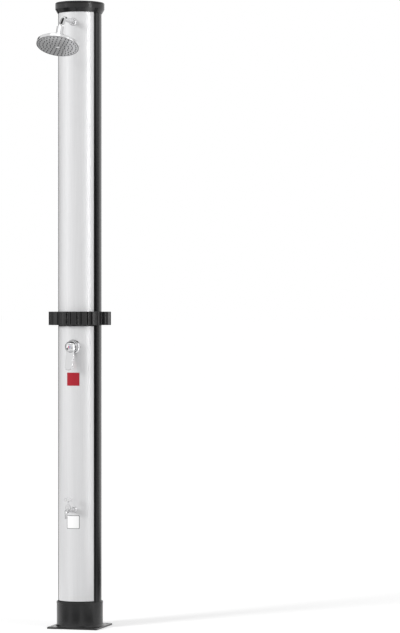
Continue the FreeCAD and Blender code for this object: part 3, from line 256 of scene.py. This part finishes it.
# %% Grained metals and polymers
def grained(name, dark, light, grain_mm, depth_mm, **shader_inputs):
    """A finish whose colour and height both follow one fine grain."""
    material, tree, shader = new_material(name, **shader_inputs)
    grain = noise(tree, (1, 1, 1), detail=3.0, scale=1 / (grain_mm * MM))
    colour_ramp(tree, shader, grain, [(0.3, dark), (0.7, light)])
    bump(tree, shader, grain, depth_mm)
    return material


def machined_metal(name, dark, light, roughness):
    """Tool marks are near 0.2 mm apart: drawn coarser so that they show."""
    return grained(name, dark, light, 0.8, 0.01, Metallic=1.0, Roughness=roughness)


def moulded_polymer(name, dark, light, roughness):
    """Mould grain is near 0.5 mm: drawn coarser so that it shows."""
    return grained(name, dark, light, 1.5, 0.02, IOR=1.52, Roughness=roughness)


FINISHES.update({
    "brass": machined_metal("turned_brass", "C39A4E", "D9B56C", 0.28),
    "steel": machined_metal("turned_stainless_steel", "9A9B9D", "B7B8BA", 0.3),
    "black_rubber": moulded_polymer("moulded_rubber", "161616", "1F1F1F", 0.7),
    "grey_plastic": machined_metal("satin_chromed_face", "D8D8D9", "E4E4E5", 0.14),
    "nozzle_rubber": moulded_polymer("soft_nozzle_silicone", "232426", "303236", 0.5),
    "white_plastic": moulded_polymer("natural_polymer", "D5D5CF", "E2E2DD", 0.45),
    "black_plug": moulded_polymer("glass_filled_nylon", "191919", "242424", 0.55),
})
VINYLS = {                      # for the plates, which no solid carries
    "red_vinyl": moulded_polymer("red_vinyl", "970219", "A30420", 0.45),
    "white_vinyl": moulded_polymer("white_vinyl", "EDEDED", "F4F4F4", 0.35),
    "grey_vinyl": moulded_polymer("grey_vinyl", "5E5E60", "6A6A6C", 0.4),
}
print("finishes so far", len(FINISHES) + len(VINYLS))

# %% [markdown]
# ## Hot and cold button
# The small button on the lever shows red on one side and blue on the other, so
# that a bather knows which way is warm. Position across the button decides
# between the two inks, and a thin pale line is left where they meet.


# %% Index button
def index_inks():
    material, tree, shader = new_material("index_inks", IOR=1.49, Roughness=0.18)
    place = add_node(tree, "ShaderNodeTexCoord")
    sides = add_node(tree, "ShaderNodeSeparateXYZ", Vector=place.outputs["Object"])
    button_mm = 9.0
    across = add_node(tree, "ShaderNodeMapRange", Value=sides.outputs["X"],
                      From_Min=-button_mm / 2 * MM, From_Max=button_mm / 2 * MM)
    warm, line, cold = "C2697A", "DADADC", "8E8FB8"
    colour_ramp(tree, shader, across.outputs["Result"],
                [(0.0, warm), (0.46, warm), (0.48, line), (0.52, line), (0.54, cold)])
    return material


FINISHES["index_plastic"] = index_inks()
print("made", FINISHES["index_plastic"].name)

# %% [markdown]
# ## Each solid gets its finish
# The record names a material slot for every solid, so one loop dresses them.

# %% Finishes on the solids
for entry in frame["record"]["subparts"]:
    mesh = nodes[entry["node"]].data
    mesh.materials.clear()
    mesh.materials.append(FINISHES[entry["material_slot"]])
print("finishes", len(FINISHES), "on", len(nodes), "pieces")

# %% [markdown]
# ## Building round and flat shapes from numbers
# Turned parts are a profile swept about an axis, so one function makes any of
# them from rings of radius and height. It makes the mesh vertex by vertex,
# because then every ring lands where the drawing says. A ring may change its
# radius on the way round, as a screw thread does.

# %% A mesh piece that rides on a body
PIECE_CREASE = math.radians(35)     # edges sharper than this stay crisp


def mesh_piece(name, vertices, faces, body, finish, smooth=True):
    """Makes a mesh in metres, gives it its finish and lets it ride on a CAD body."""
    mesh = bpy.data.meshes.new(name)
    mesh.from_pydata(vertices, [], faces)
    mesh.validate()
    bm = bmesh.new()
    bm.from_mesh(mesh)
    bmesh.ops.recalc_face_normals(bm, faces=bm.faces)
    bm.to_mesh(mesh)
    bm.free()
    if smooth:
        mesh.shade_smooth()
        mesh.set_sharp_from_angle(angle=PIECE_CREASE)
    piece = bpy.data.objects.new(name, mesh)
    bpy.context.scene.collection.objects.link(piece)
    mesh.materials.append({**FINISHES, **VINYLS}[finish])
    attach(piece, body)
    return piece


def swept(rings, place):
    """Vertices and faces of rings about Z, each a list of (radius, height), then placed."""
    sides = len(rings[0])
    vertices, faces = [], []
    for ring in rings:
        for i, (radius, height) in enumerate(ring):
            turn = 2 * math.pi * i / sides
            spot = Vector((radius * math.cos(turn), radius * math.sin(turn), height))
            vertices.append(place @ spot)
    for r in range(len(rings)):
        for i in range(sides):
            a, b = r * sides + i, r * sides + (i + 1) % sides
            up = (r + 1) % len(rings) * sides
            faces.append((a, b, up + (i + 1) % sides, up + i))
    return vertices, faces


def turned(profile, sides, place):
    """Vertices and faces of a closed profile of (radius, height) turned about Z, then placed."""
    return swept([[pair] * sides for pair in profile], place)


# %% [markdown]
# ## Nozzle tips
# The water leaves through soft rubber tips that a thumb can rub free of lime.
# The solid model has plain pegs there. Each gets a real tip: a small foot, a
# tapered neck, a rounded lip and a dark hole. One mesh holds them all.

# %% Where the head points
HEAD_TILT = math.radians(23)
BALL = Vector((0, -0.212, 2.048))
head_place = Matrix.Translation(BALL) @ Matrix.Rotation(-HEAD_TILT, 4, "X")
FACE_R, FACE_CROWN, HEAD_DROP = 69.0, 3.0, 69.0     # millimetres
curve = (FACE_R ** 2 + FACE_CROWN ** 2) / (2 * FACE_CROWN)


def face_height(radius):
    """Height of the crowned face under the ball, in millimetres."""
    return -HEAD_DROP - FACE_CROWN + curve - math.sqrt(curve ** 2 - radius ** 2)


print("the face's crown has a radius of", round(curve), "mm")

# %% Tips in rings
NOZZLE_RINGS = ((12.5, 6), (25, 12), (37.5, 18), (50, 24), (62.5, 30))  # radius, tips
TIP_SIDES = 10
tip_profile = [(0.7, -0.3), (1.9, 0.25), (1.9, -0.35), (1.55, -0.75),
               (1.35, -1.6), (1.15, -2.0), (0.7, -2.1)]
tip_vertices, tip_faces = [], []
for ring_mm, count in NOZZLE_RINGS:
    for i in range(count):
        turn = 2 * math.pi * i / count
        spot = Vector((ring_mm * math.cos(turn), ring_mm * math.sin(turn), face_height(ring_mm)))
        place = head_place @ Matrix.Scale(MM, 4) @ Matrix.Translation(spot)
        vertices, faces = turned(tip_profile, TIP_SIDES, place)
        offset = len(tip_vertices)
        tip_vertices += vertices
        tip_faces += [tuple(v + offset for v in face) for face in faces]
tips = mesh_piece("nozzle_tips", tip_vertices, tip_faces, "shower_head", "nozzle_rubber")
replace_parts(tips, "spray_nozzles")
print("nozzle tips", sum(count for _, count in NOZZLE_RINGS))

# %% [markdown]
# ## Two bare plates
# A red and a white square lie on the bright panel. They are thin flexible
# plates that follow its curve, so each is a small grid bent round the column,
# with its corners rounded and its edge closed.

# %% Curved plates
PANEL_R = -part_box("upper_front_panel")[0].y / MM
CORNER_STEPS, BEND_STEPS = 5, 14
SHARES = [0.0, 0.25, 0.5, 0.75, 0.95, 1.0]      # from the plate's middle to its edge


def curved_plate(name, width, height, centre_z, corner, inner_mm, outer_mm, finish):
    """A plate of arc width and height in millimetres, between two radii of the column."""
    outline = []
    for cx, cz, start in ((1, 1, 0), (-1, 1, 90), (-1, -1, 180), (1, -1, 270)):
        for k in range(CORNER_STEPS + 1):
            turn = math.radians(start + 90 * k / CORNER_STEPS)
            outline.append((cx * (width / 2 - corner) + corner * math.cos(turn),
                            cz * (height / 2 - corner) + corner * math.sin(turn)))
        if start in (0, 180):       # points along the edge that bends round the column
            s, z = outline[-1]
            outline += [(s * (1 - 2 * k / BEND_STEPS), z) for k in range(1, BEND_STEPS)]
    vertices, faces = [], []

    def add_side(radius):
        first = len(vertices)
        for share in SHARES[1:]:
            for s, z in outline:
                turn = s * share / PANEL_R
                vertices.append(Vector((radius * math.sin(turn), -radius * math.cos(turn),
                                        centre_z + z * share)) * MM)
        vertices.append(Vector((0, -radius, centre_z)) * MM)
        return first

    count = len(outline)
    for radius in (outer_mm, inner_mm):
        first = add_side(radius)
        middle = len(vertices) - 1
        for i in range(count):
            j = (i + 1) % count
            faces.append((middle, first + i, first + j))
            for ring in range(len(SHARES) - 2):
                a = first + ring * count
                faces.append((a + i, a + count + i, a + count + j, a + j))
    edge = (len(SHARES) - 2) * count
    back = count * (len(SHARES) - 1) + 1
    for i in range(count):
        j = (i + 1) % count
        faces.append((edge + i, back + edge + i, back + edge + j, edge + j))
    return mesh_piece(name, vertices, faces, "column", finish)


RED_Z, WHITE_Z = 857.5, 367.0
SUNK = PANEL_R - 0.3            # the back of a plate sits a little inside the panel
curved_plate("bare_red_plate", 45, 45, RED_Z, 1.5, SUNK, PANEL_R + 0.45, "red_vinyl")
curved_plate("white_plate_border", 46, 46, WHITE_Z, 3.0, SUNK, PANEL_R + 0.4, "grey_vinyl")
curved_plate("bare_white_plate", 42.4, 42.4, WHITE_Z, 2.2,
             PANEL_R + 0.1, PANEL_R + 0.55, "white_vinyl")
print("plates lie on the panel at", round(PANEL_R, 2), "mm")

# %% [markdown]
# ## Hose thread
# A garden hose screws on the union at the back. Its thread is a ridge that
# climbs one pitch each turn, so the radius of each point depends on its height
# and on how far round it is. The smooth solid is replaced by this one.

# %% Threaded hose union
INLET_Z = 170.0
THREAD_R, THREAD_PITCH, THREAD_DEPTH = 13.2, 1.814, 1.0
THREAD_LOW, THREAD_HIGH, THREAD_STEPS = 82.4, 95.6, 66
inlet_low, inlet_high = (corner.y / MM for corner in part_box("hose_inlet"))
SIDES = 48


def union_radius(height, share_of_turn):
    """Radius of the thread at a height, for a point part of the way round."""
    phase = (height / THREAD_PITCH - share_of_turn) % 1.0
    ridge = 1.0 - abs(2 * phase - 1.0)
    ends = (height - THREAD_LOW) / THREAD_PITCH, (THREAD_HIGH - height) / THREAD_PITCH
    fade = max(0.0, min(1.0, *ends))        # the ridge runs out within a pitch of each end
    return THREAD_R - THREAD_DEPTH * (1 - ridge) * fade ** 0.5


def thread_height(step):
    return THREAD_LOW + (THREAD_HIGH - THREAD_LOW) * step / THREAD_STEPS


outer_rows = [(11.0, inlet_low), (11.0, 77.0), (17.0, 77.0), (17.0, 80.8),
              (16.6, 81.6), (15.8, 82.0), (13.2, 82.0)]
closing_rows = [(12.8, inlet_high), (8.4, inlet_high), (8.0, inlet_high - 0.4), (8.0, inlet_low)]
rings = [[row] * SIDES for row in outer_rows]
for height in map(thread_height, range(THREAD_STEPS + 1)):
    rings.append([(union_radius(height, i / SIDES), height) for i in range(SIDES)])
rings += [[row] * SIDES for row in closing_rows]
to_back = (Matrix.Translation((0, 0, INLET_Z * MM)) @ Matrix.Rotation(math.radians(-90), 4, "X")
           @ Matrix.Scale(MM, 4))
union_vertices, union_faces = swept(rings, to_back)
union = mesh_piece("threaded_hose_union", union_vertices, union_faces, "column", "brass")
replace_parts(union, "hose_inlet")
print("thread turns", round((THREAD_HIGH - THREAD_LOW) / THREAD_PITCH, 1))

# %% [markdown]
# ## Bell-shaped wall flanges
# The flanges that hide the holes behind the arm and the tap are spun from
# thin sheet, so their edges roll down to the panel. A flat disc would mirror
# one card only, while a rolled edge mirrors much of the room, dark sides too.

# %% Bells over the wall holes
BELLS = (   # mesh, solid, height of its middle, bore, rim, thickness
    ("arm_bell", "arm_flange", 2084.0, 8.6, 14.0, 6.0),
    ("tap_bell", "foot_tap_flange", 410.0, 8.1, 13.0, 3.0),
)
BELL_STEPS = 8
BELL_SUNK, BELL_WALL, BELL_LIP = 0.3, 1.0, 0.6      # below the panel, upright, at the bore
for name, node, centre_z, bore_r, rim_r, thickness in BELLS:
    seat = math.sqrt(PANEL_R ** 2 - rim_r ** 2) - BELL_SUNK
    rise = PANEL_R + thickness - seat - BELL_WALL
    profile = [(bore_r, seat), (rim_r, seat)]
    for k in range(BELL_STEPS + 1):
        turn = math.radians(90) * k / BELL_STEPS
        radius = bore_r + BELL_LIP + (rim_r - bore_r - BELL_LIP) * math.cos(turn)
        profile.append((radius, seat + BELL_WALL + rise * math.sin(turn)))
    profile.append((bore_r, PANEL_R + thickness))
    to_front = (Matrix.Translation((0, 0, centre_z * MM))
                @ Matrix.Rotation(math.radians(90), 4, "X"))
    bell_vertices, bell_faces = turned(profile, SIDES, to_front @ Matrix.Scale(MM, 4))
    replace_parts(mesh_piece(name, bell_vertices, bell_faces, "column", "chrome"), node)
    print(name, "from", round(seat, 1), "to", round(PANEL_R + thickness, 1), "mm off the axis")

# %% [markdown]
# ## Aerator grille
# The spout ends in a fine grille that mixes air into the water. It is a round
# mesh of thin crossing bars, set a little up inside the aerator's mouth.

# %% Aerator grille
GRILLE_R, GRILLE_LIFT = 3.55 * MM, 1.2 * MM
BAR_HALF, BAR_THICK, BAR_PITCH = 0.22 * MM, 0.5 * MM, 0.95 * MM
BAR_QUADS = ((0, 1, 3, 2), (4, 6, 7, 5), (0, 4, 5, 1), (2, 3, 7, 6), (0, 2, 6, 4), (1, 5, 7, 3))
low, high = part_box("spout_aerator")
centre = Vector(((low.x + high.x) / 2, (low.y + high.y) / 2, low.z + GRILLE_LIFT))
grille_vertices, grille_faces = [], []
for across in (0, 1):
    for k in range(-3, 4):
        offset = k * BAR_PITCH
        reach = math.sqrt(GRILLE_R ** 2 - offset ** 2)
        first = len(grille_vertices)
        for along in (-reach, reach):
            for side in (-BAR_HALF, BAR_HALF):
                for z in (0, BAR_THICK):
                    spot = (along, offset + side, z) if across else (offset + side, along, z)
                    grille_vertices.append(centre + Vector(spot))
        for quad in BAR_QUADS:
            grille_faces.append(tuple(first + q for q in quad))
mesh_piece("aerator_grille", grille_vertices, grille_faces, "column", "steel", smooth=False)
print("grille bars", len(grille_faces) // len(BAR_QUADS))

# %% [markdown]
# ## Smooth shading
# The solids come in as flat triangles. Shading them smooth hides the facets of
# round walls, while edges sharper than the limit stay crisp.

# %% Smooth the solids
SOLID_CREASE = math.radians(30)
for node in nodes.values():
    node.data.shade_smooth()
    node.data.set_sharp_from_angle(angle=SOLID_CREASE)
print("smoothed", len(nodes))

# %% [markdown]
# ## Camera
# The photograph was taken level with the middle of the post, from a little
# right of its front and from far off with a long lens, so the column's sides
# stay parallel.

# %% Camera
VIEW_TURN = 15.76               # degrees, turned to the left of straight ahead
CAMERA_PLACE = (2.973, -9.005, 1.0726)
LENS_MM, SENSOR_MM = 155.83, 36.0
camera_data = bpy.data.cameras.new("camera")
camera_data.sensor_width = SENSOR_MM
camera_data.lens = LENS_MM
camera = bpy.data.objects.new("camera", camera_data)
bpy.context.scene.collection.objects.link(camera)
camera.location = CAMERA_PLACE
camera.rotation_euler = (math.radians(90), 0, math.radians(VIEW_TURN))
bpy.context.scene.camera = camera
print("camera", CAMERA_PLACE, LENS_MM, "mm")

# %% [markdown]
# ## White studio
# The floor and the backdrop are white to the camera, to gloss and to glass. The
# floor adds a soft share of real light, so that the post still throws a shadow
# on it.


# %% Floor
def seen_directly(tree):
    """1 for rays from the camera, from gloss and through glass, else 0."""
    path = add_node(tree, "ShaderNodeLightPath")
    either = add_node(tree, "ShaderNodeMath", {"operation": "MAXIMUM"},
                      i0=path.outputs["Is Camera Ray"], i1=path.outputs["Is Glossy Ray"])
    return add_node(tree, "ShaderNodeMath", {"operation": "MAXIMUM"},
                    i0=either.outputs[0], i1=path.outputs["Is Transmission Ray"]).outputs[0]


FLOOR_GLOW, FLOOR_SHADE, FLOOR_BOUNCE = 0.56, 0.8, 0.75
floor_material = bpy.data.materials.new("white_floor")
floor_material.use_nodes = True
ft = floor_material.node_tree
ft.nodes.clear()
diffuse = add_node(ft, "ShaderNodeBsdfDiffuse", Color=(FLOOR_SHADE, FLOOR_SHADE, FLOOR_SHADE, 1))
glow = add_node(ft, "ShaderNodeEmission", Color=WHITE, Strength=FLOOR_GLOW)
lit = add_node(ft, "ShaderNodeAddShader", i0=diffuse.outputs[0], i1=glow.outputs[0])
plain = add_node(ft, "ShaderNodeBsdfDiffuse", Color=(FLOOR_BOUNCE, FLOOR_BOUNCE, FLOOR_BOUNCE, 1))
choice = add_node(ft, "ShaderNodeMixShader", i0=seen_directly(ft),
                  i1=plain.outputs[0], i2=lit.outputs[0])
add_node(ft, "ShaderNodeOutputMaterial", Surface=choice.outputs[0])
floor_mesh = bpy.data.meshes.new("studio_floor")
FLOOR_HALF = 900.0
FLOOR_DROP = 0.0004             # metres below the foot, so that the two faces don't fight
floor_mesh.from_pydata([(-FLOOR_HALF, -FLOOR_HALF, 0), (FLOOR_HALF, -FLOOR_HALF, 0),
                        (FLOOR_HALF, FLOOR_HALF, 0), (-FLOOR_HALF, FLOOR_HALF, 0)],
                       [], [(0, 1, 2, 3)])
floor_mesh.materials.append(floor_material)
floor_object = bpy.data.objects.new("studio_floor", floor_mesh)
floor_object.location.z = -FLOOR_DROP
bpy.context.scene.collection.objects.link(floor_object)
print("floor glow", FLOOR_GLOW)

# %% [markdown]
# ## White backdrop
# The world is the backdrop: plain white to the camera, to gloss and through
# glass. As light it is weaker, so that the lamps still shape the post.

# %% World
ROOM_LIGHT = 0.34
world = bpy.data.worlds.new("studio")
bpy.context.scene.world = world
world.use_nodes = True
wt = world.node_tree
wt.nodes.clear()
backdrop = add_node(wt, "ShaderNodeBackground", Color=WHITE, Strength=1.0)
soft = add_node(wt, "ShaderNodeBackground", Color=WHITE, Strength=ROOM_LIGHT)
shown = add_node(wt, "ShaderNodeMixShader", i0=seen_directly(wt),
                 i1=soft.outputs[0], i2=backdrop.outputs[0])
add_node(wt, "ShaderNodeOutputWorld", Surface=shown.outputs[0])
print("backdrop strength 1, as light", ROOM_LIGHT)

# %% [markdown]
# ## Cards out of view
# In an all-white room chrome would look like white plastic. A studio stands
# black and grey cards just out of view, and their reflections draw the dark
# lines that make metal read as metal. Some lie on the floor or hang overhead,
# where the head's dome and face look, and a few shine brighter than the room.
# Each card fades into the white towards its edges, as a card far out of focus
# does, so no hard corner shows in the dome. Only gloss sees them here.

# %% One card
CARD_FADE = 0.3                 # share of a card's width and height, at each edge


def studio_card(name, corners, grey):
    """A flat card of four corners in metres. Towards its edge it fades into the backdrop."""
    material = bpy.data.materials.new(name)
    material.use_nodes = True
    tree = material.node_tree
    tree.nodes.clear()
    place = add_node(tree, "ShaderNodeTexCoord")
    sides = add_node(tree, "ShaderNodeSeparateXYZ", Vector=place.outputs["UV"])
    cover = []
    for axis in "XY":
        centred = add_node(tree, "ShaderNodeMath", {"operation": "SUBTRACT"},
                           i0=sides.outputs[axis], i1=0.5)
        away = add_node(tree, "ShaderNodeMath", {"operation": "ABSOLUTE"}, i0=centred.outputs[0])
        edge = add_node(tree, "ShaderNodeMapRange", {"interpolation_type": "SMOOTHSTEP"},
                        Value=away.outputs[0], From_Min=0.5 - CARD_FADE, From_Max=0.5,
                        To_Min=1.0, To_Max=0.0)
        cover.append(edge.outputs["Result"])
    both = add_node(tree, "ShaderNodeMath", {"operation": "MULTIPLY"}, i0=cover[0], i1=cover[1])
    light = add_node(tree, "ShaderNodeMapRange", Value=both.outputs[0], To_Min=1.0, To_Max=grey)
    paint = add_node(tree, "ShaderNodeEmission", Color=WHITE, Strength=light.outputs["Result"])
    add_node(tree, "ShaderNodeOutputMaterial", Surface=paint.outputs[0])
    mesh = bpy.data.meshes.new(name)
    mesh.from_pydata(corners, [], [(0, 1, 2, 3)])
    mesh.uv_layers.new(name="across")
    mesh.materials.append(material)
    card = bpy.data.objects.new(name, mesh)
    bpy.context.scene.collection.objects.link(card)
    card.visible_camera = card.visible_diffuse = card.visible_shadow = False


def from_post(compass_deg, distance, height):
    """A point round the post. The compass starts at its front and grows towards +X."""
    turn = math.radians(compass_deg)
    return Vector((distance * math.sin(turn), -distance * math.cos(turn), height))


# %% Cards round the post
STANDING = [    # name, compass from and to, distance, low, high, grey
    ("right_black", 97, 132, 3.0, -0.3, 2.4, 0.0),
    ("right_high_grey", 96, 168, 3.0, 2.3, 4.0, 0.7),
    ("left_grey", -122, -86, 3.0, -0.3, 2.8, 0.4),
    ("left_edge_black", -144, -114, 3.0, -0.3, 2.8, 0.0),
    ("left_high_black", -168, -96, 3.0, 2.3, 4.0, 0.0),
    ("front_grey", -30, 42, 12.0, -1.0, 8.0, 0.8),
]
for name, start, end, distance, low_z, high_z, grey in STANDING:
    studio_card(name, [from_post(start, distance, low_z), from_post(end, distance, low_z),
                       from_post(end, distance, high_z), from_post(start, distance, high_z)], grey)
FLOOR_FAN = [   # compass from and to, nearest, farthest, grey
    (-80, -30, 0.12, 0.6, 0.3), (-30, 20, 0.12, 0.6, 0.0), (20, 80, 0.12, 0.6, 0.0),
    (-135, -40, 0.8, 6.0, 0.1), (-46, 8, 0.8, 7.0, 0.3), (0, 48, 0.8, 7.0, 0.3),
    (50, 100, 0.7, 4.5, 3.0), (88, 165, 0.3, 4.5, 0.0),
]
FAN_Z = 0.01
for index, (start, end, near, far, grey) in enumerate(FLOOR_FAN):
    studio_card("floor_card_%d" % index, [
        from_post(start, near, FAN_Z), from_post(end, near, FAN_Z),
        from_post(end, far, FAN_Z), from_post(start, far, FAN_Z)], grey)
CEILING = [     # side, near, far, grey: flat cards over the front of the post
    (0.9, -0.6, 0.4, 0.05), (0.7, -1.25, -0.55, 2.2), (2.2, -2.3, -1.2, 0.6),
]
CEILING_Z = 3.0
for index, (side, near, far, grey) in enumerate(CEILING):
    studio_card("ceiling_card_%d" % index, [
        (-side, near, CEILING_Z), (side, near, CEILING_Z),
        (side, far, CEILING_Z), (-side, far, CEILING_Z)], grey)
BACK_Z = 0.012
studio_card("floor_grey", [(-2.6, 0.25, BACK_Z), (0.35, 0.25, BACK_Z),
                           (0.35, 3.2, BACK_Z), (-2.6, 3.2, BACK_Z)], 0.38)
print("cards", len(STANDING) + len(FLOOR_FAN) + len(CEILING) + 1)

# %% [markdown]
# ## Lamps
# The key is a broad far lamp to the front left and rather low, so the fittings
# throw shadows to the right and the post a long one over the floor. Two tall
# soft boxes stand to the left and the right. The right one is strong and high
# and puts the bright band down the right side of the metal, brightest at its
# top. The left one only fills the shaded side.


# %% Lamps
def add_lamp(name, kind, place, aim, **settings):
    data = bpy.data.lights.new(name, kind)
    for key, value in settings.items():
        setattr(data, key, value)
    lamp = bpy.data.objects.new(name, data)
    lamp.location = place
    lamp.rotation_euler = (place - aim).to_track_quat("Z", "Y").to_euler()
    bpy.context.scene.collection.objects.link(lamp)
    return lamp


CHEST = Vector((0, 0, 1.1))
KEY_COMPASS, KEY_RISE, KEY_DISTANCE = -35, 15, 6.0
KEY_ENERGY, KEY_SPREAD = 2.6, math.radians(15)
key_place = from_post(KEY_COMPASS, KEY_DISTANCE,
                      CHEST.z + KEY_DISTANCE * math.tan(math.radians(KEY_RISE)))
key = add_lamp("key_lamp", "SUN", key_place, CHEST, energy=KEY_ENERGY, angle=KEY_SPREAD)
key.visible_glossy = False      # polished parts show the soft boxes instead
BOX_WIDTH, BOX_HEIGHT, BOX_DISTANCE = 0.4, 2.6, 4.0
BOX_AIM = 0.8                   # aims a little lower than the box stands
SOFT_BOXES = (("left_soft_box", -50, 2.0, 1.4), ("right_soft_box", 66, 2.3, 8.0))
for name, compass_deg, centre_z, brightness in SOFT_BOXES:
    watts = brightness * math.pi * BOX_WIDTH * BOX_HEIGHT
    add_lamp(name, "AREA", from_post(compass_deg, BOX_DISTANCE, centre_z),
             Vector((0, 0, BOX_AIM * centre_z)),
             shape="RECTANGLE", size=BOX_WIDTH, size_y=BOX_HEIGHT, energy=watts)
    print(name, round(watts, 1), "W")
bpy.context.scene.view_settings.view_transform = "Standard"
